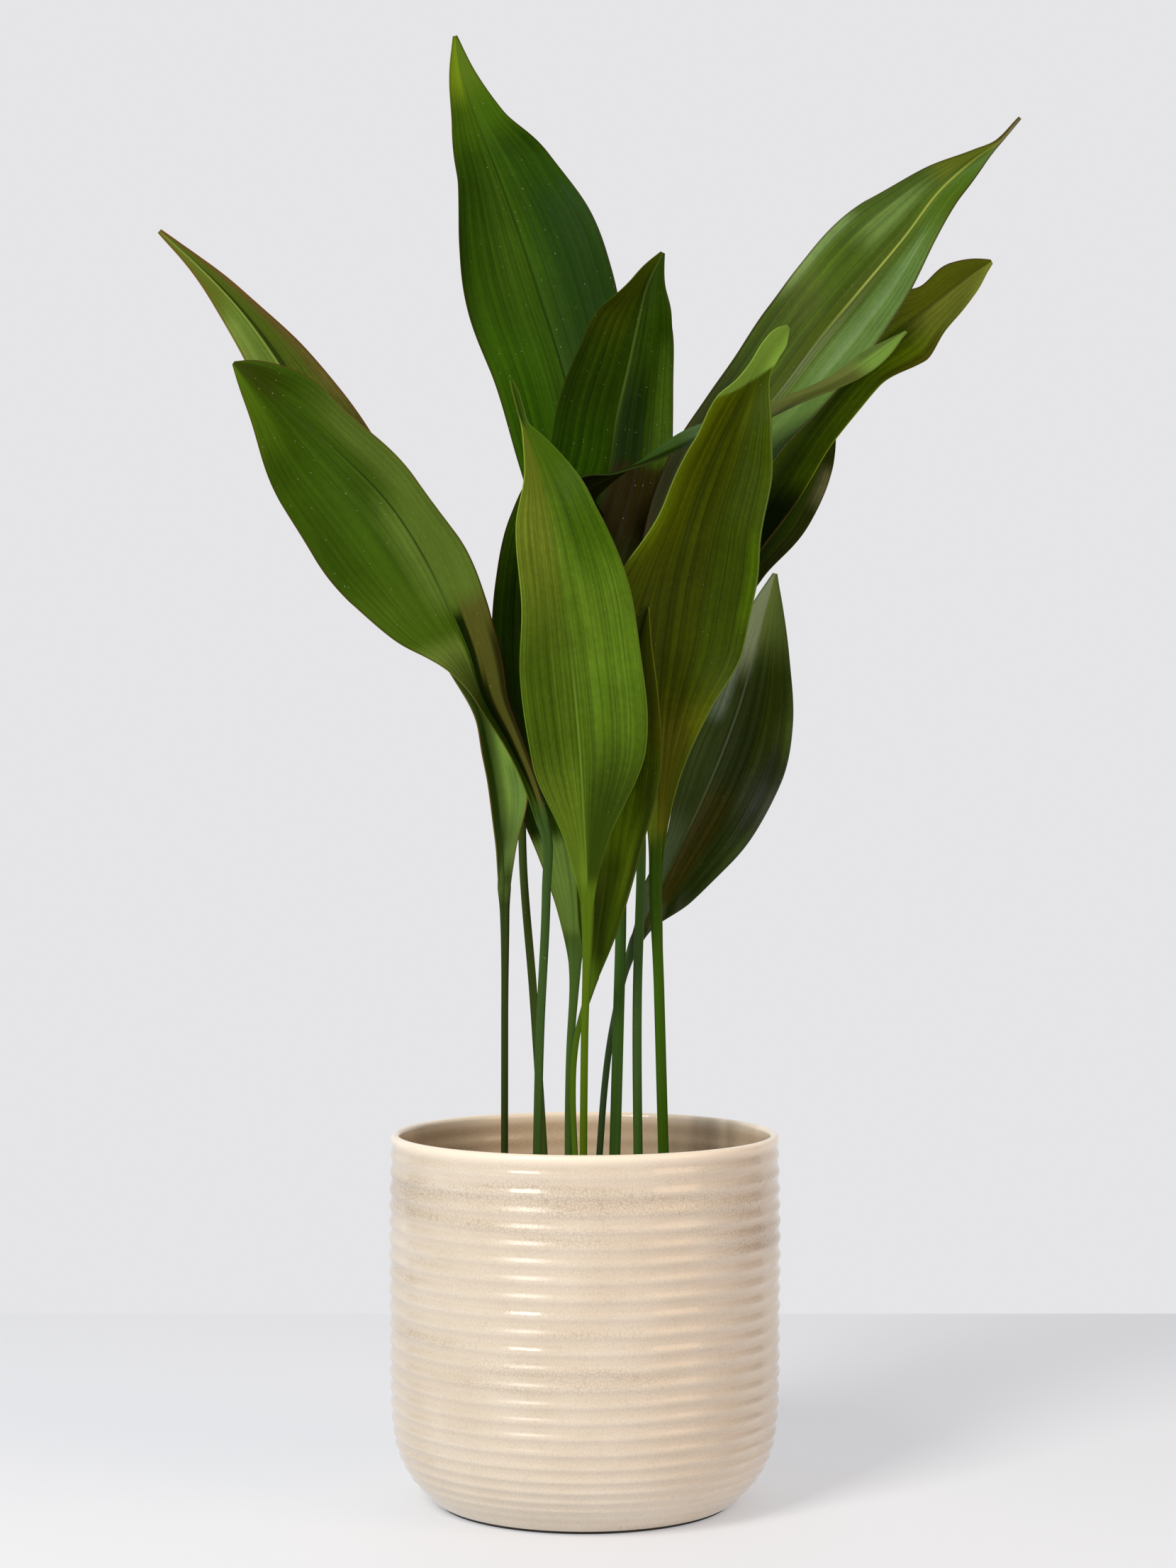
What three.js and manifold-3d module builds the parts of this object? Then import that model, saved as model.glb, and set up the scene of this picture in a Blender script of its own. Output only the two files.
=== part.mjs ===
// A cast iron plant (Aspidistra elatior) in a ribbed stoneware pot.
// Millimetres, +Z up. The origin is the centre of the pot's flat foot, on the floor.
// The side with the bright leaf faces -Y.

import * as THREE from 'three';
import Module from 'manifold-3d';
import { mergeVertices } from 'three/addons/utils/BufferGeometryUtils.js';

// Pot
const POT_SEGMENTS = 36;
const FOOT_RADIUS = 78;
const FOOT_CHAMFER = 1.2;
const LIP_TOP = 197.5;
const LIP_RADIUS = 104.5;
const LIP_THICKNESS = 5;
const BASE_THICKNESS = 9;
const BODY_TOP = 187;
const BODY_BOTTOM = 5.5;

// Outer radius of the pot's body along its height, without the ribs.
const BODY = [
  { z: 0, radius: 79.5 },
  { z: 5.5, radius: 84.8 },
  { z: 13, radius: 92.2 },
  { z: 25, radius: 99.4 },
  { z: 44, radius: 103.6 },
  { z: 63, radius: 104.6 },
  { z: 100, radius: 105.1 },
  { z: 158, radius: 105.3 },
  { z: 190, radius: 104.5 },
];

// Heights of the crests that the potter's fingers left, and how deep the grooves between them are.
const RIB_CRESTS = [
  10.3, 15, 20.2, 25.8, 32, 38.7, 46.2, 54.2, 62.3, 70.6, 79.3,
  88.4, 97.2, 106, 115.2, 124.2, 133.3, 142.3, 151, 159.5, 168, 177.5,
];
const RIB_DEPTH = 0.9;

// Inner wall, from the lip down to the inside of the base.
const INNER = [
  { z: 192, radius: 99.6 },
  { z: 180, radius: 99.2 },
  { z: 160, radius: 99.4 },
  { z: 60, radius: 98.4 },
  { z: 30, radius: 94 },
  { z: 15, radius: 85 },
  { z: BASE_THICKNESS, radius: 72 },
];

// Soil
const SOIL_TOP = 163;
const SOIL_DOME = 2.5;
const SOIL_BUMP = 0.8;
const FIT_GAP = 0.35;
const WALL_GAP = 0.75;

// Leaf
const BLADE_EDGE = 0.7;
const MIDRIB_DEPTH = 1.7;
const MIDRIB_HALF_WIDTH = 3.5;
const PETIOLE_BLEND = 60;
const PETIOLE_UNDER = 0.95;
const PETIOLE_OVER = 0.5;
const PETIOLE_MAX_HALF = 3.2;
const CHANNEL = 1.4;
const PETIOLE_STEP = 45;
const BLADE_STEP = 15;
const ACROSS = [-1, -0.55, 0, 0.55, 1];

// Every leaf is one piece from the soil to its tip, given by stations along its midrib:
// x, y and z of the midrib, half the width, roll about the midrib, fold of the two halves.
// bladeStart is the station where the petiole ends. wave is the height of the margin's waves,
// their length and their phase.
const LEAVES = [
  {
    name: 'leaf_front_bright',
    color: 0x6d8a33,
    bladeStart: 2,
    wave: { height: 1.2, length: 82, phase: 0.6 },
    stations: [
      [-1, -26, 150, 2, 0, 0],
      [0, -34, 256, 2, 0, 0],
      [1.5, -44, 317, 3, 0, 25],
      [0, -54, 355, 13, -11, 35],
      [-2.5, -64, 402, 35, -16, 30],
      [-6.5, -72, 446, 37.5, -14, 32],
      [-10.5, -77, 479, 36, -17, 36],
      [-17, -80, 520, 27, -11, 38],
      [-24.6, -80, 549, 14, -33, 33],
      [-28.4, -79, 561, 7.5, -32, 36],
      [-31.4, -78, 570, 2.6, -30, 40],
      [-33.2, -76, 578, 2.1, -30, 20],
      [-35.4, -74, 586, 1.9, -30, 20],
      [-37.5, -72, 593, 0.8, -30, 20],
    ],
  },
  {
    name: 'leaf_front_short',
    color: 0x4f6d2a,
    bladeStart: 2,
    wave: { height: 0.8, length: 70, phase: 1.4 },
    stations: [
      [-4, -10, 150, 1.6, 0, 0],
      [-3, -15, 256, 1.6, 0, 0],
      [2.6, -24, 276, 2.2, 0, 20],
      [8, -34, 312, 12, 8, 28],
      [13, -42, 350, 19, 8, 28],
      [18, -48, 391, 24, 4, 26],
      [22.5, -53, 430, 20, 9, 28],
      [26.7, -58, 459, 11, 12, 30],
      [32.4, -60, 477, 0.8, 10, 30],
    ],
  },
  {
    name: 'leaf_front_olive',
    color: 0x4c5f26,
    bladeStart: 2,
    wave: { height: 1.2, length: 88, phase: 2.1 },
    stations: [
      [43, -16, 150, 2.9, 0, 0],
      [39.6, -18, 274, 2.8, 0, 0],
      [37.7, -22, 342, 3.6, -5, 20],
      [39, -26, 376, 9, 0, 35],
      [39, -33, 425, 28, 0, 22],
      [42, -39, 461, 42, -6, 14],
      [47.6, -46, 497, 43, -21, 30],
      [57.2, -54, 531, 40, -25, 45],
      [68.7, -58, 560, 33, -25, 45],
      [79, -61, 581, 21.5, -18, 42],
      [84.5, -62, 592, 13, -28, 38],
      [89.2, -62, 601, 8.6, -36, 32],
      [94.5, -61, 610, 7.8, -38, 28],
      [101, -60, 618, 6.2, -40, 26],
      [106, -59, 622.4, 0.8, -40, 26],
    ],
  },
  {
    name: 'leaf_arching',
    color: 0x3c4a20,
    bladeStart: 3,
    wave: { height: 1, length: 90, phase: 0.2 },
    stations: [
      [43, 16, 150, 1.9, 150, 0],
      [40.7, 24, 271, 1.9, 150, 0],
      [38.7, 28, 341, 1.9, 150, 0],
      [31, 24, 391, 2.2, 150, 0],
      [20, 14, 437, 6, 150, 8],
      [8, 2, 477, 13, 148, 0],
      [-2, -9, 508, 20, 140, -5],
      [-6, -15, 529, 25, 124, -8],
      [-1, -16, 542, 28, 104, -4],
      [12, -16, 549.5, 29, 90, -2],
      [28, -17, 556, 30, 83, 0],
      [60.5, -20, 571, 28, 76, 0],
      [101, -20, 586.5, 24, 76, 0],
      [136, -18, 600.5, 16, 72, 0],
      [158.7, -18, 616, 9, 60, 5],
      [171, -17, 626.6, 0.8, 60, 5],
    ],
  },
  {
    name: 'leaf_back_centre',
    color: 0x2f4a22,
    bladeStart: 3,
    wave: { height: 1, length: 76, phase: 3.4 },
    stations: [
      [-20, 0, 150, 2.2, 0, 0],
      [-28, 10, 272, 2.2, 0, 0],
      [-34, 22, 348.6, 2.2, 0, 0],
      [-34, 31, 393, 3, 0, 10],
      [-27, 38, 438, 17, 5, 24],
      [-12, 42, 482, 34, 5, 25],
      [1.5, 45, 524, 40.5, 2, 25],
      [13.5, 46, 561.2, 37, 2, 25],
      [17.6, 47, 587.7, 35.5, 4, 26],
      [23.9, 47, 615.2, 32, 8, 31],
      [29.4, 46, 640.5, 26, 8, 36],
      [34.8, 44, 661.8, 12, -10, 38],
      [43, 42, 678.7, 0.8, 0, 30],
    ],
  },
  {
    name: 'leaf_back_tall',
    color: 0x3a5a24,
    bladeStart: 4,
    wave: { height: 1.4, length: 92, phase: 1 },
    stations: [
      [15, -12, 150, 3, 0, 0],
      [18, -8, 258, 3, 0, 0],
      [19.5, 0, 317, 2.9, 0, 0],
      [19.2, 14, 368, 2.8, 0, 0],
      [16, 32, 418, 4, 0, 10],
      [11, 48, 466, 14, 0, 20],
      [5, 60, 514, 28, 0, 20],
      [-2, 68, 570.5, 38, 0, 20],
      [-13.3, 73, 620.5, 41, 0, 19],
      [-25.7, 74, 659.5, 44, -4, 18],
      [-37.2, 74, 694.7, 42, -13, 22],
      [-48.5, 73, 726.4, 32, -20, 24],
      [-60, 71, 756, 18, 0, 33],
      [-69, 69, 783.4, 8.5, 0, 36],
      [-72.9, 67, 804.5, 0.8, 0, 30],
    ],
  },
  {
    name: 'leaf_right_glossy',
    color: 0x4a6338,
    bladeStart: 4,
    wave: { height: 1.2, length: 84, phase: 2.6 },
    stations: [
      [29, -6, 150, 2.5, 0, 0],
      [28.2, -6, 273, 2.5, 0, 0],
      [30.3, -7, 348, 2.5, 0, 0],
      [30.2, -3, 391, 2.5, 0, 0],
      [33.5, 7, 432, 4, 0, 15],
      [40, 18, 472, 13, 8, 28],
      [53, 27, 512, 25, 10, 32],
      [70.5, 34, 551, 30, 10, 34],
      [89.5, 38, 580.5, 31, 10, 35],
      [107.5, 41, 602.5, 34, 8, 36],
      [125.5, 43, 626.5, 35, 8, 33],
      [151, 46, 657, 35, 20, 26],
      [177.3, 48, 688.5, 29.5, 25, 35],
      [198, 48, 715.5, 16, 8, 37],
      [217, 47, 732, 6.5, -15, 38],
      [229, 46, 740.6, 1.4, -20, 30],
      [240.7, 44, 753.6, 0.6, 0, 20],
    ],
  },
  {
    name: 'leaf_right_yellow',
    color: 0x556f2a,
    bladeStart: 3,
    wave: { height: 1.2, length: 66, phase: 0 },
    stations: [
      [29.5, 15, 150, 1.9, 0, 0],
      [28.5, 20, 271.5, 1.9, 0, 0],
      [31, 30, 347, 1.9, 0, 0],
      [35, 38, 395, 2, 0, 0],
      [43, 47, 438.5, 4, 5, 20],
      [57, 56, 478, 12, 10, 30],
      [79, 63, 514, 21, 14, 34],
      [101, 68, 550, 27, 14, 34],
      [124.7, 72, 587.5, 27, 14, 34],
      [149.6, 75, 618, 28, 16, 34],
      [174.5, 76, 640, 28, 0, 32],
      [193.7, 76, 654, 17, -15, 35],
      [211.5, 75, 668, 14, 0, 38],
      [223.3, 74, 676, 6, 0, 38],
      [228.9, 73, 679, 0.8, 0, 30],
    ],
  },
  {
    name: 'leaf_right_dark',
    color: 0x22331c,
    bladeStart: 3,
    wave: { height: 1, length: 80, phase: 2 },
    stations: [
      [16, 26, 150, 1.9, 0, 0],
      [18.6, 32, 263, 1.9, 0, 0],
      [20.7, 42, 321, 1.9, 0, 0],
      [27.6, 56, 375.5, 2, 0, 0],
      [39.8, 72, 427, 6, 0, 15],
      [57.3, 84, 472, 18, 0, 18],
      [78.5, 92, 512, 28, 8, 22],
      [99.8, 97, 549, 33, 0, 14],
      [116, 100, 578, 28.5, 0, 14],
      [125.8, 101, 602, 18, 0, 20],
      [131.5, 100, 626.5, 0.8, 0, 20],
    ],
  },
  {
    name: 'leaf_low_right',
    color: 0x2b3b24,
    bladeStart: 2,
    wave: { height: 1, length: 78, phase: 4 },
    stations: [
      [5.3, 5, 150, 1.8, 0, 0],
      [16, 8, 258, 1.8, 0, 0],
      [23, 11, 287.6, 2.2, 0, 10],
      [30.8, 13, 306.7, 5, -8, 32],
      [42, 14, 329, 19, -19, 41],
      [52, 14, 351, 28, -25, 45],
      [62.7, 13, 374, 35, -22, 43],
      [73.4, 12, 399, 37, -20, 39],
      [83.3, 11, 425.7, 32, -18, 40],
      [92, 10, 456.4, 21, -12, 36],
      [99, 9, 483, 9, -5, 34],
      [103, 8, 499, 0.8, 0, 30],
    ],
  },
  {
    name: 'leaf_left_broad',
    color: 0x4b6330,
    bladeStart: 3,
    wave: { height: 1.2, length: 86, phase: 5 },
    stations: [
      [-26, -25, 150, 2.3, 0, 0],
      [-23.7, -23, 255, 2.3, 0, 0],
      [-20.5, -21, 327, 2.4, 0, 0],
      [-20.4, -20, 357, 2.6, 0, 20],
      [-28, -21, 380, 5.5, -15, 50],
      [-40, -23, 406, 9, -22, 56],
      [-54, -25, 431, 16, -20, 56],
      [-62.5, -27, 457, 27, 2, 50],
      [-70, -28, 474, 36, 16, 42],
      [-84.2, -30, 503.5, 46, 27, 36],
      [-101.8, -31, 531, 49, 33, 36],
      [-132.4, -30, 563, 41, 30, 36],
      [-159.5, -28, 588, 24, 12, 38],
      [-176, -26, 601, 11, 5, 36],
      [-186.6, -24, 608.6, 0.8, 0, 20],
    ],
  },
  {
    name: 'leaf_left_folded',
    color: 0x52692f,
    bladeStart: 2,
    wave: { height: 0.8, length: 84, phase: 0.9 },
    stations: [
      [-43, -12, 150, 1.9, 0, 0],
      [-42.9, -10, 258, 1.9, 0, 0],
      [-43, -6, 315, 2.2, 0, 20],
      [-44, -4, 349.3, 7, -25, 40],
      [-47.5, -2, 383, 18, -30, 50],
      [-51.3, 0, 402.6, 16.5, -28, 50],
      [-55.2, 2, 420, 14, -30, 48],
      [-65.1, 5, 443, 17, -32, 42],
      [-78.6, 7, 470, 23, -25, 38],
      [-99.8, 9, 504.5, 28, -8, 36],
      [-123, 11, 541, 30, 0, 37],
      [-147, 14, 580, 28, -2, 38],
      [-165.2, 16, 611, 21, -3, 41],
      [-189.8, 18, 645, 13.5, 5, 49],
      [-212.3, 19, 668.5, 5.5, 0, 45],
      [-232, 20, 686.5, 0.8, 0, 40],
    ],
  },
  {
    name: 'leaf_centre_dark',
    color: 0x26381d,
    bladeStart: 2,
    wave: { height: 1, length: 74, phase: 3 },
    stations: [
      [-9, 8, 150, 2.2, 0, 0],
      [-7.7, 7, 245, 2.2, 0, 0],
      [-5.4, 6, 284, 3, 0, 10],
      [-5.8, 6, 314.5, 9, 5, 30],
      [-9.6, 8, 347, 16, 3, 22],
      [-15.4, 11, 380, 23, 0, 15],
      [-20.4, 14, 418, 27, 0, 12],
      [-23, 16, 457, 28, 0, 12],
      [-22.8, 17, 495, 26, 0, 12],
      [-21.2, 16, 530, 19.5, 0, 12],
      [-20, 14, 551, 10, 0, 15],
      [-18.9, 12, 562, 0.8, 0, 20],
    ],
  },
];

const { clamp, degToRad, smoothstep } = THREE.MathUtils;
const wasm = await Module();
wasm.setup();

// A smooth curve through rows of numbers, with the knots at the given distances. Past x, y and z
// come widths and angles, and those never swing beyond their stations.
function curveThrough(knots, rows) {
  const last = rows.length - 1;
  const width = rows[0].length;
  const steps = knots.slice(1).map((knot, i) => knot - knots[i]);
  const slopes = steps.map((step, i) => rows[i].map((value, c) => (rows[i + 1][c] - value) / step));
  const tangents = rows.map((row, i) => {
    if (i === 0) return slopes[0];
    if (i === last) return slopes[last - 1];
    const before = steps[i - 1];
    const after = steps[i];
    return row.map((_, c) => {
      const [back, ahead] = [slopes[i - 1][c], slopes[i][c]];
      const tangent = (back * after + ahead * before) / (before + after);
      if (c < 3) return tangent;
      const least = 3 * Math.min(Math.abs(back), Math.abs(ahead));
      return back * ahead > 0 ? clamp(tangent, -least, least) : 0;
    });
  });
  return (distance) => {
    let i = 0;
    while (i < last - 1 && distance > knots[i + 1]) i += 1;
    const h = steps[i];
    const t = (distance - knots[i]) / h;
    const row = [];
    const slope = [];
    for (let c = 0; c < width; c += 1) {
      const a = rows[i][c];
      const b = rows[i + 1][c];
      const p = tangents[i][c] * h;
      const q = tangents[i + 1][c] * h;
      row.push(a + t * (p + t * (3 * (b - a) - 2 * p - q + t * (2 * (a - b) + p + q))));
      slope.push((p + t * (2 * (3 * (b - a) - 2 * p - q) + 3 * t * (2 * (a - b) + p + q))) / h);
    }
    return { row, slope };
  };
}

function leafCurve(leaf) {
  const knots = [0];
  leaf.stations.slice(1).forEach(([x, y, z], i) => {
    const [px, py, pz] = leaf.stations[i];
    knots.push(knots[i] + Math.hypot(x - px, y - py, z - pz));
  });
  return { knots, at: curveThrough(knots, leaf.stations) };
}

// Distances along the leaf of its rings: wide apart on the petiole, close on the waved blade.
function ringDistances(knots, bladeStart) {
  const distances = [0];
  knots.slice(1).forEach((knot, i) => {
    const length = knot - knots[i];
    const count = Math.max(1, Math.round(length / (i < bladeStart ? PETIOLE_STEP : BLADE_STEP)));
    for (let k = 1; k <= count; k += 1) {
      distances.push(knots[i] + (length * k) / count);
    }
  });
  return distances;
}

// One ring of a leaf: its upper points from the left margin to the right one, then the lower
// points back to the left margin.
function leafRing(leaf, curve, distance) {
  const { row, slope } = curve.at(distance);
  const [x, y, z, widthHere, roll, foldHere] = row;
  const half = Math.max(widthHere, 0.5);
  const fold = degToRad(foldHere);
  const along = new THREE.Vector3(slope[0], slope[1], slope[2]).normalize();
  const flatSide = new THREE.Vector3(0, 1, 0).cross(along).normalize();
  const flatFace = flatSide.clone().cross(along);
  const side = flatSide.clone().applyAxisAngle(along, -degToRad(roll));
  const face = flatFace.clone().applyAxisAngle(along, -degToRad(roll));

  const start = curve.knots[leaf.bladeStart];
  const end = curve.knots[curve.knots.length - 1];
  const blade = smoothstep(distance, start, start + PETIOLE_BLEND);
  const towardsTip = clamp((distance - start) / (end - start), 0, 1);
  // The petiole is nearly round; where it runs out into the blade its sides are drawn out softly.
  const stalkHalf = Math.min(half, PETIOLE_MAX_HALF);
  const runOut = smoothstep(half - stalkHalf, 0, 5);
  const reach = stalkHalf * (1 + 0.5 * runOut);
  const turn = (2 * Math.PI * distance) / leaf.wave.length + leaf.wave.phase;
  const waveHeight = leaf.wave.height * blade * Math.min(1, half / 25);

  const upper = [];
  const lower = [];
  ACROSS.forEach((v) => {
    const wave = waveHeight * Math.sin(v < 0 ? turn : 1.15 * turn + 1.9);
    const lift = half * Math.sin(fold) * Math.abs(v) ** CHANNEL + wave * v * v;
    const middle = new THREE.Vector3(x, y, z)
      .addScaledVector(side, v * half * Math.cos(fold))
      .addScaledVector(face, lift);
    const steepness = Math.tan(fold) * CHANNEL * Math.abs(v) ** (CHANNEL - 1) * Math.sign(v);
    const out = face.clone().addScaledVector(side, -steepness).normalize();
    const fromMidrib = Math.abs(v) * half;
    const round = Math.max(0, 1 - (fromMidrib / reach) ** 2) ** (0.5 + 1.5 * runOut);
    const ribShare = Math.max(0, 1 - fromMidrib / MIDRIB_HALF_WIDTH);
    const rib = MIDRIB_DEPTH * (1 - 0.75 * towardsTip) * ribShare;
    const under = BLADE_EDGE + (1 - blade) * PETIOLE_UNDER * stalkHalf * round + blade * rib;
    const over = (1 - blade) * PETIOLE_OVER * stalkHalf * round;
    upper.push(middle.clone().addScaledVector(out, over));
    lower.unshift(middle.clone().addScaledVector(out, -under));
  });
  return [...upper, ...lower];
}

// The leaf's skin. Both faces are split along the same diagonals, so the blade keeps its thickness.
function leafGeometry(leaf) {
  const curve = leafCurve(leaf);
  const rings = ringDistances(curve.knots, leaf.bladeStart).map((d) => leafRing(leaf, curve, d));
  const count = rings[0].length;
  const columns = ACROSS.length;
  const origin = new THREE.Vector3(...leaf.stations[0].slice(0, 3));
  const positions = rings.flat().flatMap((point) => point.clone().sub(origin).toArray());
  const index = [];
  for (let j = 0; j < rings.length - 1; j += 1) {
    for (let k = 0; k < count; k += 1) {
      const a = j * count + k;
      const b = j * count + ((k + 1) % count);
      const c = b + count;
      const d = a + count;
      if (k < columns) {
        index.push(a, b, c, a, c, d);
      } else {
        index.push(a, b, d, b, c, d);
      }
    }
  }
  const tip = (rings.length - 1) * count;
  for (let i = 0; i < columns - 1; i += 1) {
    const under = count - 1 - i;
    index.push(i, under, under - 1, i, under - 1, i + 1);
    index.push(tip + i, tip + under - 1, tip + under, tip + i, tip + i + 1, tip + under - 1);
  }
  const geometry = new THREE.BufferGeometry();
  geometry.setAttribute('position', new THREE.Float32BufferAttribute(positions, 3));
  geometry.setIndex(index);
  geometry.computeVertexNormals();
  return geometry;
}

// A body turned about the upright axis from a profile of radius and height.
function turned(profile) {
  const points = profile.map(([radius, z]) => new THREE.Vector2(radius, z));
  return new THREE.LatheGeometry(points, POT_SEGMENTS).rotateX(Math.PI / 2);
}

function potProfile() {
  const body = curveThrough(BODY.map(({ z }) => z), BODY.map(({ radius }) => [radius]));
  const radiusAt = (z) => body(z).row[0];
  const profile = [[0, 0], [FOOT_RADIUS, 0], [FOOT_RADIUS + FOOT_CHAMFER, FOOT_CHAMFER]];
  profile.push([radiusAt(BODY_BOTTOM), BODY_BOTTOM]);
  RIB_CRESTS.forEach((crest, i) => {
    const next = RIB_CRESTS[i + 1] ?? BODY_TOP;
    const depth = RIB_DEPTH * Math.min(1, (next - crest) / 8.5);
    profile.push([radiusAt(crest), crest]);
    [0.32, 0.68].forEach((share) => {
      const z = crest + (next - crest) * share;
      profile.push([radiusAt(z) - depth, z]);
    });
  });
  profile.push([radiusAt(BODY_TOP), BODY_TOP]);
  const lipHalf = LIP_THICKNESS / 2;
  for (let i = 0; i <= 6; i += 1) {
    const angle = (Math.PI * i) / 6;
    const radius = LIP_RADIUS - lipHalf + lipHalf * Math.cos(angle);
    profile.push([radius, LIP_TOP - lipHalf + lipHalf * Math.sin(angle)]);
  }
  INNER.forEach(({ z, radius }) => profile.push([radius, z]));
  profile.push([0, BASE_THICKNESS]);
  return profile;
}

// The soil fills the pot up to a slightly domed, uneven top.
function soilGeometry() {
  const bottom = BASE_THICKNESS + FIT_GAP;
  const wall = INNER.filter(({ z }) => z < SOIL_TOP).reverse();
  const profile = [[0, bottom]];
  wall.forEach(({ z, radius }) => profile.push([radius - WALL_GAP, Math.max(z, bottom)]));
  profile.push([wall.at(-1).radius - WALL_GAP, SOIL_TOP]);
  [86, 64, 42, 20].forEach((radius) => {
    profile.push([radius, SOIL_TOP + SOIL_DOME * (1 - (radius / 100) ** 2)]);
  });
  profile.push([0, SOIL_TOP + SOIL_DOME]);
  const geometry = turned(profile);
  const position = geometry.attributes.position;
  for (let i = 0; i < position.count; i += 1) {
    const x = position.getX(i);
    const y = position.getY(i);
    const radius = Math.hypot(x, y);
    if (position.getZ(i) > SOIL_TOP + 0.1 && radius > 1) {
      const bump = Math.sin(x / 9 + 1.3) * Math.cos(y / 11) + 0.6 * Math.sin((x - y) / 6);
      position.setZ(i, position.getZ(i) + SOIL_BUMP * bump);
    }
  }
  return geometry;
}

function toSolid(geometry) {
  const bare = geometry.clone();
  bare.deleteAttribute('normal');
  bare.deleteAttribute('uv');
  const merged = mergeVertices(bare, 1e-4);
  return new wasm.Manifold(new wasm.Mesh({
    numProp: 3,
    vertProperties: new Float32Array(merged.attributes.position.array),
    triVerts: new Uint32Array(merged.index.array),
  }));
}

function toGeometry(solid) {
  const mesh = solid.getMesh();
  const geometry = new THREE.BufferGeometry();
  geometry.setAttribute('position', new THREE.Float32BufferAttribute(mesh.vertProperties, 3));
  geometry.setIndex(new THREE.BufferAttribute(mesh.triVerts, 1));
  geometry.computeVertexNormals();
  return geometry;
}

// A plain round hole in the soil for a petiole, just wider than the petiole and along it.
function petioleHole(leaf) {
  const [x, y, z, half] = leaf.stations[0];
  const curve = leafCurve(leaf);
  const next = curve.at(ringDistances(curve.knots, leaf.bladeStart)[1]).row;
  const along = new THREE.Vector3(next[0] - x, next[1] - y, next[2] - z).normalize();
  const radius = BLADE_EDGE + PETIOLE_UNDER * half + FIT_GAP + 0.1;
  const depth = 40;
  const hole = new THREE.CylinderGeometry(radius, radius, depth, 12);
  hole.rotateX(Math.PI / 2).translate(0, 0, depth / 2 - FIT_GAP);
  const turn = new THREE.Quaternion().setFromUnitVectors(new THREE.Vector3(0, 0, 1), along);
  return hole.applyQuaternion(turn).translate(x, y, z);
}

function addPiece(group, name, geometry, color, roughness) {
  const material = new THREE.MeshStandardMaterial({ color, roughness, metalness: 0 });
  const piece = new THREE.Mesh(geometry, material);
  piece.name = name;
  group.add(piece);
  return piece;
}

const plant = new THREE.Group();

addPiece(plant, 'pot', turned(potProfile()), 0xdccab2, 0.3);

let soil = toSolid(soilGeometry());
LEAVES.forEach((leaf) => {
  soil = soil.subtract(toSolid(petioleHole(leaf)));
});
addPiece(plant, 'soil', toGeometry(soil), 0x3a2c20, 0.95);

LEAVES.forEach((leaf) => {
  const blade = addPiece(plant, leaf.name, leafGeometry(leaf), leaf.color, 0.4);
  blade.position.set(...leaf.stations[0].slice(0, 3));
});

export default plant;
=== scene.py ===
import math

import bpy
import numpy as np
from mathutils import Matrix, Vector


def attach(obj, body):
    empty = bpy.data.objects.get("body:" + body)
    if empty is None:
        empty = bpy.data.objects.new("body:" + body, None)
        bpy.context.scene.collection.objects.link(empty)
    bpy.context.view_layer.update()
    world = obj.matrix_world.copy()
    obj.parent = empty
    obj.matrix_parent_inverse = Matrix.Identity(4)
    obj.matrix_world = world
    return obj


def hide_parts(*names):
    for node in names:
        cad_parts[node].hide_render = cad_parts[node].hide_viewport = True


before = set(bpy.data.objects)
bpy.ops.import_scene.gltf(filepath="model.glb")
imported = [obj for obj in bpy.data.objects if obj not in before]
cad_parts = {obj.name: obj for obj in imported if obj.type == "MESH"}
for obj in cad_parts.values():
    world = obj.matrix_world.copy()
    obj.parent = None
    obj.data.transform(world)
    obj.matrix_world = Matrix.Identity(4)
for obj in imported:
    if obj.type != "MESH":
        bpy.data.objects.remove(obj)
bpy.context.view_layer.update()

MM = 0.001

# The pot, in millimetres
LIP_TOP = 197.5
LIP_RADIUS = 104.5
LIP_THICKNESS = 5
FOOT_RADIUS = 78
FOOT_CHAMFER = 1.2
BASE_THICKNESS = 9
BODY_BOTTOM = 5.5
BODY_TOP = 187
RIB_DEPTH = 0.95
RIB_CRESTS = [
    10.3, 15, 20.2, 25.8, 32, 38.7, 46.2, 54.2, 62.3, 70.6, 79.3,
    88.4, 97.2, 106, 115.2, 124.2, 133.3, 142.3, 151, 159.5, 168, 177.5,
]
BODY = [  # height, outer radius
    (0, 79.5), (5.5, 84.8), (13, 92.2), (25, 99.4), (44, 103.6), (63, 104.6), (100, 105.1), (158, 105.3),
    (190, 104.5),
]
NECK = [(188.3, 0.25), (189.6, 0.65)]  # height, how far in from the body's line
LIP_FOOT = [(191, 0.75), (192.5, 0.45), (193.8, 0.12)]  # height, how far in from the lip's side
INNER = [  # height, inner radius
    (192, 99.6), (180, 99.2), (160, 99.4), (60, 98.4), (30, 94), (15, 85), (9, 72),
]
RING_DEPTH = 0.18
RIB_WAVER = (0.22, 0.12)
GLASSY_HEIGHTS = [188, 179, 117.5, 99.5]
TURN_STEPS = 180

# The soil, in millimetres
SOIL_TOP = 163
SOIL_DOME = 2.5
SOIL_GAP = 0.75
SOIL_BOTTOM = BASE_THICKNESS + 0.35
CRUMBS = [(6.0, 0.7), (3.0, 0.5), (1.7, 0.35)]  # size, height
CRUMB_WAVES = 12

# The leaves, in millimetres
BLADE_EDGE = 0.7
MIDRIB_DEPTH = 1.7
MIDRIB_HALF_WIDTH = 3.5
PETIOLE_BLEND = 60
PETIOLE_UNDER = 0.95
PETIOLE_OVER = 0.5
PETIOLE_MAX_HALF = 3.2
CHANNEL = 1.4
COLUMNS = 64
ROWS = 190
PETIOLE_ROWS = 0.2
SMOOTH_ANGLE = math.radians(50)

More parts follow.
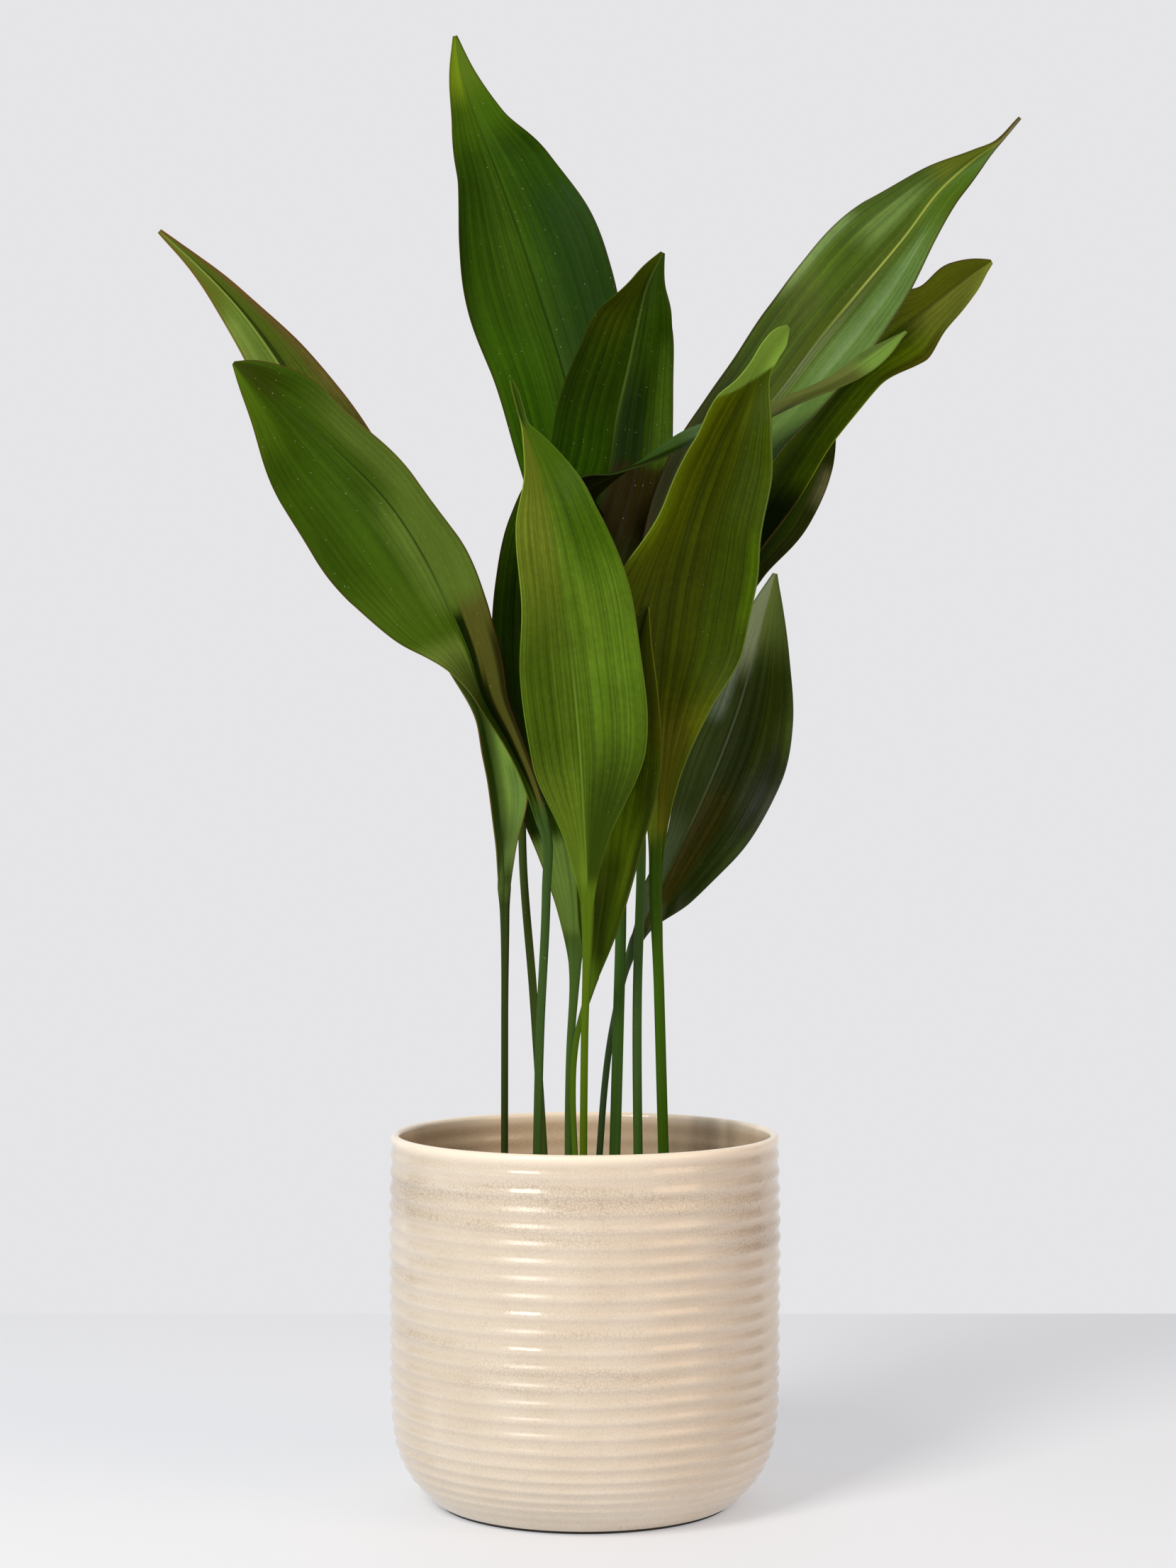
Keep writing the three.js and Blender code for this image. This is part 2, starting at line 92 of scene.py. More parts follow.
# The stage, in metres
FLOOR_WIDTH = 8
FLOOR_DEPTH = 5
HORIZON = 0.573
CAMERA_PLACE = (0.0017, -1.640, 0.385)

# The camera's lens and sensor, in millimetres
CAMERA_LENS = 69.9
SENSOR_HEIGHT = 36

# What the finish of a leaf reads at each point: across is -1 at the left margin and 1 at the right one,
# to_tip runs from 0 where the blade starts to 1 at its tip, blade is 0 on the petiole and 1 on the blade,
# folds counts the pleats from the midrib, and the others are in millimetres.
FIELDS = ("across", "along", "to_tip", "blade", "from_midrib", "from_margin", "folds")

# Each leaf from its petiole to its tip. A station is x, y, z, half width, roll and fold.
# blade_start is the station where the blade starts. wave is the height, length and phase of the wave in
# its margin. pleats are how many lie on each side of the midrib, and how high. midrib is its colour, where
# on the blade it shows from and to, and how strongly. margin is its colour, and how strongly it shows.
# tints are places where a leaf turns another colour: the colour, how strongly, and which fields bring it
# on between which values. Some are the leaf's own colour, such as a yellowed tip or a purple-brown half;
# many are painted shade, where a fold or another leaf shades the blade, and some are painted sheen, where
# it mirrors the light. lobe is where on the blade a paler end is painted, past a slanting line, and how that
# line slants. The real leaf's end is creased over there and shows its other face in the light; that paler
# face and its light are painted, and the blade itself is not creased.
LEAVES = {
    "leaf_front_bright": {
        "slot": "leaf_bright_green", "blade_start": 2, "wave": (1.2, 82, 0.6),
        "pleats": (5, 0.45), "roughness": 0.45, "specks": 0.4,
        "lit": "567318", "deep": "48630e", "petiole": "506a0e",
        "midrib": ("6c8b2a", 0.0, 0.5, 0.7), "margin": ("5c701c", 0.35),
        "tints_and_painted_light": [
            ("7b8f2c", 0.88, ("to_tip", 0.46, 0.74), ("across", 0.15, -0.25)),
            ("385403", 0.88, ("to_tip", 0.58, 0.7), ("across", 0.05, 0.4)),
            ("688622", 0.85, ("to_tip", 0.34, 0.22), ("across", 0.1, -0.2)),
            ("2a3a02", 0.92, ("to_tip", 0.4, 0.22), ("across", -0.1, 0.35)),
            ("283f04", 0.95, ("to_tip", 0.9, 0.925)),
        ],
        "stations": [
            (-1, -26, 150, 2, 0, 0), (0, -34, 256, 2, 0, 0), (1.5, -44, 317, 3, 0, 25),
            (0, -54, 355, 13, -11, 35), (-2.5, -64, 402, 35, -16, 30), (-6.5, -72, 446, 37.5, -14, 32),
            (-10.5, -77, 479, 36, -17, 36), (-17, -80, 520, 27, -11, 38), (-24.6, -80, 549, 14, -33, 33),
            (-28.4, -79, 561, 7.5, -32, 36), (-31.4, -78, 570, 2.6, -30, 40),
            (-33.2, -76, 578, 2.1, -30, 20), (-35.4, -74, 586, 1.9, -30, 20),
            (-37.5, -72, 593, 0.8, -30, 20),
        ],
    },
    "leaf_front_short": {
        "slot": "leaf_mid_green", "blade_start": 2, "wave": (0.8, 70, 1.4),
        "pleats": (4, 0.35), "roughness": 0.45, "specks": 0.4,
        "lit": "4e6006", "deep": "3e4e03", "petiole": "4c6a14",
        "midrib": ("52660c", 0.0, 0.9, 0.4), "margin": ("5a6818", 0.35),
        "tints_and_painted_light": [
            ("6e8a10", 0.85, ("across", 0.7, 0.4), ("to_tip", 0.32, 0.42), ("to_tip", 0.58, 0.5)),
            ("1f2a03", 0.9, ("across", 0.66, 0.9), ("to_tip", 0.62, 0.5)),
            ("2e3f02", 0.8, ("to_tip", 0.34, 0.2)),
            ("686f09", 0.92, ("across", 0.35, 0.8), ("to_tip", 0.58, 0.72)),
            ("242c05", 0.75, ("across", 0.5, 0.1), ("to_tip", 0.82, 0.94)),
        ],
        "stations": [
            (-4, -10, 150, 1.6, 0, 0), (-3, -15, 256, 1.6, 0, 0), (2.6, -24, 276, 2.2, 0, 20),
            (8, -34, 312, 12, 8, 28), (13, -42, 350, 19, 8, 28), (18, -48, 391, 24, 4, 26),
            (22.5, -53, 430, 20, 9, 28), (26.7, -58, 459, 11, 12, 30), (32.4, -60, 477, 0.8, 10, 30),
        ],
    },
    "leaf_front_olive": {
        "slot": "leaf_olive_green", "blade_start": 2, "wave": (1.2, 88, 2.1),
        "pleats": (5, 0.35), "roughness": 0.48, "specks": 0.4,
        "lit": "566402", "deep": "485302", "petiole": "35540a",
        "midrib": ("2e3801", 0.1, 0.86, 0.6), "margin": ("6c8434", 0.45),
        "tints_and_painted_light": [
            ("425000", 0.6, ("from_midrib", 9, 2), ("to_tip", 0.38, 0.48)),
            ("3c4601", 0.7, ("to_tip", 0.26, 0.38), ("to_tip", 0.62, 0.5)),
            ("324301", 0.9, ("across", 0.28, 0.55), ("to_tip", 0.24, 0.4)),
            ("627303", 0.8, ("across", -0.5, -0.85), ("to_tip", 0.5, 0.62)),
            ("435b01", 0.8, ("across", 0.8, 0.92), ("to_tip", 0.42, 0.48), ("to_tip", 0.66, 0.6)),
            ("74741a", 0.9, ("to_tip", 0.33, 0.22), ("across", 1.3, 0.5)),
            ("5e7418", 0.8, ("across", 0.3, -0.1), ("to_tip", 0.14, 0.09)),
            ("86a01e", 0.85, ("across", 0.1, -0.4), ("to_tip", 0.07, 0.03)),
            ("749637", 1.0, ("lobe", 0.0, 0.01)),
        ],
        "lobe": (0.873, 0.05),
        "stations": [
            (43, -16, 150, 2.9, 0, 0), (39.6, -18, 274, 2.8, 0, 0), (37.7, -22, 342, 3.6, -5, 20),
            (39, -26, 376, 9, 0, 35), (39, -33, 425, 28, 0, 22), (42, -39, 461, 42, -6, 14),
            (47.6, -46, 497, 43, -21, 30), (57.2, -54, 531, 40, -25, 45), (68.7, -58, 560, 33, -25, 45),
            (79, -61, 581, 21.5, -18, 42), (84.5, -62, 592, 13, -28, 38), (89.2, -62, 601, 8.6, -36, 32),
            (94.5, -61, 610, 7.8, -38, 28), (101, -60, 618, 6.2, -40, 26), (106, -59, 622.4, 0.8, -40, 26),
        ],
    },
    "leaf_arching": {
        "slot": "leaf_olive_green", "blade_start": 3, "wave": (1, 90, 0.2),
        "pleats": (5, 0.35), "roughness": 0.42, "sheen": 0.03, "specks": 0.3,
        "lit": "2a4409", "deep": "1f3405", "petiole": "3a521c",
        "midrib": ("3a4a10", 0.0, 1.0, 0.3), "margin": ("4e5c2a", 0.35),
        "tints_and_painted_light": [
            # Its lower blade, and further up its right half, are painted near black: painted shade among the
            # leaves in front.
            ("141c03", 0.85, ("to_tip", 0.5, 0.44)),
            ("3a5424", 0.85, ("across", 0.15, -0.2), ("to_tip", 0.5, 0.56)),
            ("161e03", 0.85, ("across", 0.2, 0.5), ("to_tip", 0.7, 0.64)),
            ("575c26", 0.85, ("to_tip", 0.66, 0.76)),
            ("6b743a", 0.6, ("across", 0.2, -0.2), ("to_tip", 0.72, 0.8)),
            ("6c8a38", 1.0, ("to_tip", 0.89, 0.93)),
            ("485a28", 0.85, ("across", -0.1, -0.6), ("to_tip", 0.89, 0.93)),
        ],
        # Its underside is painted near black-brown: painted shade where the twisted base turns its underside
        # out.
        "back": "1e1801",
        "stations": [
            (43, 16, 150, 1.9, 150, 0), (40.7, 24, 271, 1.9, 150, 0), (38.7, 28, 341, 1.9, 150, 0),
            (31, 24, 391, 2.2, 150, 0), (20, 14, 437, 6, 150, 8), (8, 2, 477, 13, 148, 0),
            (-2, -9, 508, 20, 140, -5), (-6, -15, 529, 25, 124, -8), (-1, -16, 542, 28, 104, -4),
            (12, -16, 549.5, 29, 90, -2), (28, -17, 556, 30, 83, 0), (60.5, -20, 571, 28, 76, 0),
            (101, -20, 586.5, 24, 76, 0), (136, -18, 600.5, 16, 72, 0), (158.7, -18, 616, 9, 60, 5),
            (171, -17, 626.6, 0.8, 60, 5),
        ],
    },
    "leaf_back_centre": {
        "slot": "leaf_dark_green", "blade_start": 3, "wave": (1, 76, 3.4),
        "pleats": (6, 0.45), "roughness": 0.4, "sheen": 0.03, "specks": 0.7,
        "lit": "273e02", "deep": "1d3001", "petiole": "3e4f1f",
        "midrib": ("4a5a20", 0.66, 1.0, 0.8), "margin": ("3c4616", 0.4),
        "tints_and_painted_light": [
            ("425007", 0.85, ("across", 0.0, -0.45), ("to_tip", 0.76, 0.92)),
            ("2c5003", 0.8, ("across", 0.0, -0.25), ("to_tip", 0.74, 0.6)),
            ("122400", 0.85, ("across", 0.0, 0.1), ("across", 0.6, 0.42), ("to_tip", 0.8, 0.7)),
            ("385010", 0.75, ("across", 0.5, 0.78), ("to_tip", 0.86, 0.8)),
            # Its lower part is painted dark brown and near black: painted shade under the leaves in front of
            # it.
            ("241c02", 0.96, ("to_tip", 0.615, 0.585), ("across", 0.0, 0.1)),
            ("1c2200", 0.9, ("to_tip", 0.5, 0.42)),
        ],
        "stations": [
            (-20, 0, 150, 2.2, 0, 0), (-28, 10, 272, 2.2, 0, 0), (-34, 22, 348.6, 2.2, 0, 0),
            (-34, 31, 393, 3, 0, 10), (-27, 38, 438, 17, 5, 24), (-12, 42, 482, 34, 5, 25),
            (1.5, 45, 524, 40.5, 2, 25), (13.5, 46, 561.2, 37, 2, 25), (17.6, 47, 587.7, 35.5, 4, 26),
            (23.9, 47, 615.2, 32, 8, 31), (29.4, 46, 640.5, 26, 8, 36), (34.8, 44, 661.8, 12, -10, 38),
            (43, 42, 678.7, 0.8, 0, 30),
        ],
    },
    "leaf_back_tall": {
        "slot": "leaf_deep_green", "blade_start": 4, "wave": (1.4, 92, 1),
        "pleats": (6, 0.3), "roughness": 0.42, "specks": 1, "veins": 0.75,
        "lit": "304f07", "deep": "264104", "petiole": "3a5a22",
        "midrib": ("1a2c02", 0.1, 0.88, 0.6), "margin": ("40300c", 0.5),
        "tints_and_painted_light": [
            ("3a5a0e", 0.7, ("across", -0.55, -0.25), ("across", 0.1, -0.03), ("to_tip", 0.9, 0.8)),
            ("3e660a", 0.75, ("across", -0.1, -0.45), ("to_tip", 0.62, 0.5)),
            ("345804", 0.6, ("across", -0.5, -0.65), ("across", -0.95, -0.85), ("to_tip", 0.8, 0.72)),
            # The darker right half low on the blade is painted shade, on the side away from the key light.
            ("1a3700", 0.88, ("across", 0.1, 0.45), ("to_tip", 0.84, 0.72)),
            ("44650b", 0.8, ("to_tip", 0.82, 0.88)),
            ("536a1a", 0.85, ("to_tip", 0.89, 0.95)),
            ("7b9a1c", 0.8, ("to_tip", 0.89, 0.95), ("across", 0.05, -0.3)),
        ],
        "stations": [
            (15, -12, 150, 3, 0, 0), (18, -8, 258, 3, 0, 0), (19.5, 0, 317, 2.9, 0, 0),
            (19.2, 14, 368, 2.8, 0, 0), (16, 32, 418, 4, 0, 10), (11, 48, 466, 14, 0, 20),
            (5, 60, 514, 28, 0, 20), (-2, 68, 570.5, 38, 0, 20), (-13.3, 73, 620.5, 41, 0, 19),
            (-25.7, 74, 659.5, 44, -4, 18), (-37.2, 74, 694.7, 42, -13, 22),
            (-48.5, 73, 726.4, 32, -20, 24), (-60, 71, 756, 18, 0, 33), (-69, 69, 783.4, 8.5, 0, 36),
            (-72.9, 67, 804.5, 0.8, 0, 30),
        ],
    },
    "leaf_right_glossy": {
        "slot": "leaf_deep_green", "blade_start": 4, "wave": (1.2, 84, 2.6),
        "pleats": (6, 0.3), "roughness": 0.3, "sheen": 0.25, "specks": 0.5, "veins": 0.75,
        "lit": "4c6818", "deep": "405810", "petiole": "3c5c1e",
        "midrib": ("8c9836", 0.62, 0.97, 1.0), "margin": ("3c2008", 0.6),
        "tints_and_painted_light": [
            # The four pale grey-green patches, on the right half and along the upper left margin, are
            # painted sheen.
            ("5e7c3c", 0.85, ("across", 0.15, 0.4), ("to_tip", 0.84, 0.72)),
            ("74905a", 0.7, ("across", 0.4, 0.5), ("across", 0.62, 0.56),
             ("to_tip", 0.8, 0.76), ("to_tip", 0.4, 0.6)),
            ("7a9a58", 0.85, ("across", -0.8, -0.93), ("to_tip", 0.56, 0.62), ("to_tip", 0.76, 0.72)),
            ("6c8a44", 0.8, ("across", -0.2, -0.42), ("across", -0.78, -0.6),
             ("to_tip", 0.7, 0.76), ("to_tip", 0.87, 0.8)),
            ("475416", 0.6, ("from_midrib", 10, 3), ("to_tip", 0.84, 0.74)),
            ("2c360a", 0.9, ("across", 0.1, -0.4), ("to_tip", 0.52, 0.38)),
            ("707e20", 0.8, ("across", -0.1, -0.4), ("to_tip", 0.84, 0.88)),
            ("46661a", 0.8, ("across", -0.3, 0.1), ("to_tip", 0.84, 0.92)),
            ("4a3c1c", 1.0, ("to_tip", 0.945, 0.965)),
        ],
        "stations": [
            (29, -6, 150, 2.5, 0, 0), (28.2, -6, 273, 2.5, 0, 0), (30.3, -7, 348, 2.5, 0, 0),
            (30.2, -3, 391, 2.5, 0, 0), (33.5, 7, 432, 4, 0, 15), (40, 18, 472, 13, 8, 28),
            (53, 27, 512, 25, 10, 32), (70.5, 34, 551, 30, 10, 34), (89.5, 38, 580.5, 31, 10, 35),
            (107.5, 41, 602.5, 34, 8, 36), (125.5, 43, 626.5, 35, 8, 33), (151, 46, 657, 35, 20, 26),
            (177.3, 48, 688.5, 29.5, 25, 35), (198, 48, 715.5, 16, 8, 37), (217, 47, 732, 6.5, -15, 38),
            (229, 46, 740.6, 1.4, -20, 30), (240.7, 44, 753.6, 0.6, 0, 20),
        ],
    },
    "leaf_right_yellow": {
        "slot": "leaf_mid_green", "blade_start": 3, "wave": (1.2, 66, 0),
        "pleats": (5, 0.3), "roughness": 0.42, "specks": 0.3,
        "lit": "4a620a", "deep": "3c5004", "petiole": "3a5820",
        "midrib": ("3a4c14", 0.1, 0.95, 0.3), "margin": ("5c3a1c", 0.4),
        "tints_and_painted_light": [
            ("7a980f", 0.9, ("across", 0.25, 0.65), ("to_tip", 0.48, 0.54)),
            ("1c2606", 0.85, ("to_tip", 0.52, 0.46)),
            ("5e6810", 0.85, ("across", 0.1, -0.1), ("to_tip", 0.78, 0.86)),
            ("a8b448", 0.92, ("across", -0.05, 0.15), ("to_tip", 0.8, 0.92)),
            ("5c5c12", 0.7, ("across", 0.7, 0.9), ("to_tip", 0.7, 0.76), ("to_tip", 0.9, 0.84)),
        ],
        "stations": [
            (29.5, 15, 150, 1.9, 0, 0), (28.5, 20, 271.5, 1.9, 0, 0), (31, 30, 347, 1.9, 0, 0),
            (35, 38, 395, 2, 0, 0), (43, 47, 438.5, 4, 5, 20), (57, 56, 478, 12, 10, 30),
            (79, 63, 514, 21, 14, 34), (101, 68, 550, 27, 14, 34), (124.7, 72, 587.5, 27, 14, 34),
            (149.6, 75, 618, 28, 16, 34), (174.5, 76, 640, 28, 0, 32), (193.7, 76, 654, 17, -15, 35),
            (211.5, 75, 668, 14, 0, 38), (223.3, 74, 676, 6, 0, 38), (228.9, 73, 679, 0.8, 0, 30),
        ],
    },
    "leaf_right_dark": {
        "slot": "leaf_dark_green", "blade_start": 3, "wave": (1, 80, 2),
        "pleats": (5, 0.3), "roughness": 0.36, "specks": 0.3,
        "lit": "3c5210", "deep": "2e420a", "petiole": "2f4420",
        "midrib": ("4a5a1c", 0.2, 1.0, 0.4), "margin": ("3c3018", 0.5),
        "tints_and_painted_light": [
            ("3a4014", 0.8, ("across", 0.7, 0.9)),
            ("848659", 0.85, ("across", 0.7, 0.9), ("to_tip", 0.71, 0.76), ("to_tip", 0.82, 0.79)),
        ],
        "stations": [
            (16, 26, 150, 1.9, 0, 0), (18.6, 32, 263, 1.9, 0, 0), (20.7, 42, 321, 1.9, 0, 0),
            (27.6, 56, 375.5, 2, 0, 0), (39.8, 72, 427, 6, 0, 15), (57.3, 84, 472, 18, 0, 18),
            (78.5, 92, 512, 28, 8, 22), (99.8, 97, 549, 33, 0, 14), (116, 100, 578, 28.5, 0, 14),
            (125.8, 101, 602, 18, 0, 20), (131.5, 100, 626.5, 0.8, 0, 20),
        ],
    },
    "leaf_low_right": {
        "slot": "leaf_dark_green", "blade_start": 2, "wave": (1, 78, 4),
        "pleats": (5, 0.3), "roughness": 0.34, "sheen": 0.25, "specks": 0.3,
        "lit": "34440e", "deep": "2a3608", "petiole": "2c421c",
        "midrib": ("5c6c4c", 0.3, 0.8, 0.5), "margin": ("36381c", 0.4),
        "tints_and_painted_light": [
            ("38491f", 0.85, ("across", 0.0, -0.12), ("to_tip", 0.74, 0.64)),
            # The pale bluish-grey patches left of the midrib are painted sheen.
            ("566c4a", 0.75, ("across", 0.0, -0.2), ("to_tip", 0.42, 0.3)),
            ("6a7c66", 0.9, ("across", -0.2, -0.45), ("to_tip", 0.6, 0.66)),
            ("474306", 0.8, ("across", -0.06, 0.06), ("across", 0.6, 0.4), ("to_tip", 0.52, 0.42)),
            ("3a4806", 0.7, ("across", 0.38, 0.5), ("to_tip", 0.48, 0.58)),
            ("1a2401", 0.88, ("across", 0.5, 0.8), ("to_tip", 0.66, 0.56), ("to_tip", 0.36, 0.44)),
            ("8a9c76", 0.95, ("across", 0.16, -0.04), ("to_tip", 0.71, 0.84)),
            ("687a34", 0.95, ("across", -0.1, 0.1), ("to_tip", 0.76, 0.9)),
            ("222c06", 0.8, ("to_tip", 0.16, 0.08)),
        ],
        "stations": [
            (5.3, 5, 150, 1.8, 0, 0), (16, 8, 258, 1.8, 0, 0), (23, 11, 287.6, 2.2, 0, 10),
            (30.8, 13, 306.7, 5, -8, 32), (42, 14, 329, 19, -19, 41), (52, 14, 351, 28, -25, 45),
            (62.7, 13, 374, 35, -22, 43), (73.4, 12, 399, 37, -20, 39), (83.3, 11, 425.7, 32, -18, 40),
            (92, 10, 456.4, 21, -12, 36), (99, 9, 483, 9, -5, 34), (103, 8, 499, 0.8, 0, 30),
        ],
    },
    "leaf_left_broad": {
        "slot": "leaf_mid_green", "blade_start": 3, "wave": (1.2, 86, 5),
        "pleats": (6, 0.3), "roughness": 0.42, "specks": 0.9, "veins": 0.55,
        "lit": "395408", "deep": "2f4603", "petiole": "3a5424",
        "midrib": ("1c2404", 0.45, 0.78, 0.7), "margin": ("4a2c10", 0.5),
        "tints_and_painted_light": [
            ("5e7228", 0.92, ("across", -0.05, 0.5), ("to_tip", 0.9, 0.74)),
            ("4a6414", 0.75, ("across", 0.15, -0.3), ("to_tip", 0.58, 0.44)),
            ("4c6810", 0.8, ("across", -0.3, -0.7), ("to_tip", 0.8, 0.88)),
            ("2d3702", 0.9, ("across", -0.55, -0.1), ("across", 0.9, 0.6), ("to_tip", 0.86, 0.94)),
            ("5c7228", 0.8, ("across", -0.4, -0.1), ("to_tip", 0.7, 0.56), ("to_tip", 0.4, 0.46)),
            ("7e933e", 0.8, ("across", -0.02, -0.1), ("to_tip", 0.4, 0.35), ("to_tip", 0.24, 0.3)),
            ("524e1e", 0.88, ("across", 0.16, 0.26), ("to_tip", 0.46, 0.4)),
            ("181c06", 0.9, ("across", 0.72, 0.9), ("to_tip", 0.4, 0.34)),
            # These two near-black strips beside the midrib are painted shade in the deep fold of the blade.
            ("0b1500", 0.95, ("across", 0.0, 0.03), ("across", 0.26, 0.19), ("to_tip", 0.43, 0.4)),
            ("101a00", 0.92, ("across", -0.03, 0.02), ("across", 0.46, 0.34), ("to_tip", 0.33, 0.27)),
        ],
        "stations": [
            (-26, -25, 150, 2.3, 0, 0), (-23.7, -23, 255, 2.3, 0, 0), (-20.5, -21, 327, 2.4, 0, 0),
            (-20.4, -20, 357, 2.6, 0, 20), (-28, -21, 380, 5.5, -15, 50), (-40, -23, 406, 9, -22, 56),
            (-54, -25, 431, 16, -20, 56), (-62.5, -27, 457, 27, 2, 50), (-70, -28, 474, 36, 16, 42),
            (-84.2, -30, 503.5, 46, 27, 36), (-101.8, -31, 531, 49, 33, 36), (-132.4, -30, 563, 41, 30, 36),
            (-159.5, -28, 588, 24, 12, 38), (-176, -26, 601, 11, 5, 36), (-186.6, -24, 608.6, 0.8, 0, 20),
        ],
    },
    "leaf_left_folded": {
        "slot": "leaf_mid_green", "blade_start": 2, "wave": (0.8, 84, 0.9),
        "pleats": (4, 0.35), "roughness": 0.44, "specks": 0.4,
        "lit": "6c8838", "deep": "5c742a", "petiole": "2f3c16",
        "midrib": ("8c9a48", 0.3, 1.0, 0.7), "margin": ("6a3c20", 0.6),
        "tints_and_painted_light": [
            ("8aa84e", 0.7, ("across", -0.3, -0.7), ("to_tip", 0.88, 0.83)),
            ("4e5c18", 0.9, ("across", 0.06, 0.25), ("to_tip", 0.3, 0.4)),
            # The dark strip beside the midrib low on the blade is painted shade in the fold.
            ("263708", 0.95, ("across", -0.02, 0.04), ("across", 0.28, 0.18), ("to_tip", 0.3, 0.4)),
            ("646e24", 0.8, ("across", 0.02, -0.04), ("to_tip", 0.84, 0.9)),
            ("66522a", 0.75, ("across", 0.55, 0.9), ("to_tip", 0.4, 0.85)),
            ("88ac4a", 0.85, ("across", -0.05, 0.08), ("to_tip", 0.28, 0.22)),
            ("3e541a", 0.85, ("across", 0.02, -0.1), ("to_tip", 0.28, 0.22)),
            ("5a7636", 0.8, ("across", 0.35, 0.6), ("to_tip", 0.2, 0.17)),
            ("52692e", 0.85, ("to_tip", 0.14, 0.09)),
            ("2a3a12", 0.92, ("across", -0.5, -0.1), ("to_tip", 0.08, 0.04)),
        ],
        "stations": [
            (-43, -12, 150, 1.9, 0, 0), (-42.9, -10, 258, 1.9, 0, 0), (-43, -6, 315, 2.2, 0, 20),
            (-44, -4, 349.3, 7, -25, 40), (-47.5, -2, 383, 18, -30, 50), (-51.3, 0, 402.6, 16.5, -28, 50),
            (-55.2, 2, 420, 14, -30, 48), (-65.1, 5, 443, 17, -32, 42), (-78.6, 7, 470, 23, -25, 38),
            (-99.8, 9, 504.5, 28, -8, 36), (-123, 11, 541, 30, 0, 37), (-147, 14, 580, 28, -2, 38),
            (-165.2, 16, 611, 21, -3, 41), (-189.8, 18, 645, 13.5, 5, 49), (-212.3, 19, 668.5, 5.5, 0, 45),
            (-232, 20, 686.5, 0.8, 0, 40),
        ],
    },
    "leaf_centre_dark": {
        "slot": "leaf_dark_green", "blade_start": 2, "wave": (1, 74, 3),
        "pleats": (5, 0.35), "roughness": 0.46, "specks": 0.3,
        "lit": "2e4602", "deep": "203401", "petiole": "4c6a2c",
        "midrib": ("2c4208", 0.1, 0.9, 0.3), "margin": ("4a2c18", 0.6),
        "tints_and_painted_light": [
            ("66843a", 0.9, ("to_tip", 0.28, 0.24)),
            ("2a4006", 0.85, ("to_tip", 0.09, 0.05)),
        ],
        "stations": [
            (-9, 8, 150, 2.2, 0, 0), (-7.7, 7, 245, 2.2, 0, 0), (-5.4, 6, 284, 3, 0, 10),
            (-5.8, 6, 314.5, 9, 5, 30), (-9.6, 8, 347, 16, 3, 22), (-15.4, 11, 380, 23, 0, 15),
            (-20.4, 14, 418, 27, 0, 12), (-23, 16, 457, 28, 0, 12), (-22.8, 17, 495, 26, 0, 12),
            (-21.2, 16, 530, 19.5, 0, 12), (-20, 14, 551, 10, 0, 15), (-18.9, 12, 562, 0.8, 0, 20),
        ],
    },
}


def linear(hex_colour, alpha=1.0):
    """An sRGB hex colour as the linear colour that the shaders use."""
    parts = [int(hex_colour[i:i + 2], 16) / 255 for i in (0, 2, 4)]
    return tuple(p / 12.92 if p <= 0.04045 else ((p + 0.055) / 1.055) ** 2.4 for p in parts) + (alpha,)


def add_node(tree, kind, inputs=None, **settings):
    """Adds a shader node with its settings. An input takes a plain value, a node or a node's output."""
    node = tree.nodes.new("ShaderNode" + kind)
    for name, value in settings.items():
        setattr(node, name, value)
    for name, value in (inputs or {}).items():
        if isinstance(value, bpy.types.Node):
            value = value.outputs[0]
        if isinstance(value, bpy.types.NodeSocket):
            tree.links.new(value, node.inputs[name])
        else:
            node.inputs[name].default_value = value
    return node


def new_material(name):
    material = bpy.data.materials.new(name)
    material.use_nodes = True
    material.node_tree.nodes.clear()
    return material, material.node_tree


def clear_selection():
    if bpy.context.object and bpy.context.object.mode != "OBJECT":
        bpy.ops.object.mode_set(mode="OBJECT")
    bpy.ops.object.select_all(action="DESELECT")


def points_of(mesh):
    """The mesh's vertices, as rows of x, y and z."""
    points = np.empty(len(mesh.vertices) * 3)
    mesh.vertices.foreach_get("co", points)
    return points.reshape(-1, 3)


def add_field(mesh, name, values):
    """A number at each vertex, which the finish reads."""
    layer = mesh.attributes.new(name, "FLOAT", "POINT")
    layer.data.foreach_set("value", values.astype(np.float32))


def dress(piece, points, material):
    """Moves the vertices to their points, adds the finish, and selects the piece for its shading."""
    piece.data.vertices.foreach_set("co", points.ravel())
    piece.data.update()
    piece.data.materials.append(material)
    clear_selection()
    piece.select_set(True)
    bpy.context.view_layer.objects.active = piece


def smooth(low, high, value):
    """0 at low, 1 at high, and a soft step between them."""
    t = np.clip((value - low) / (high - low), 0, 1)
    return t * t * (3 - 2 * t)


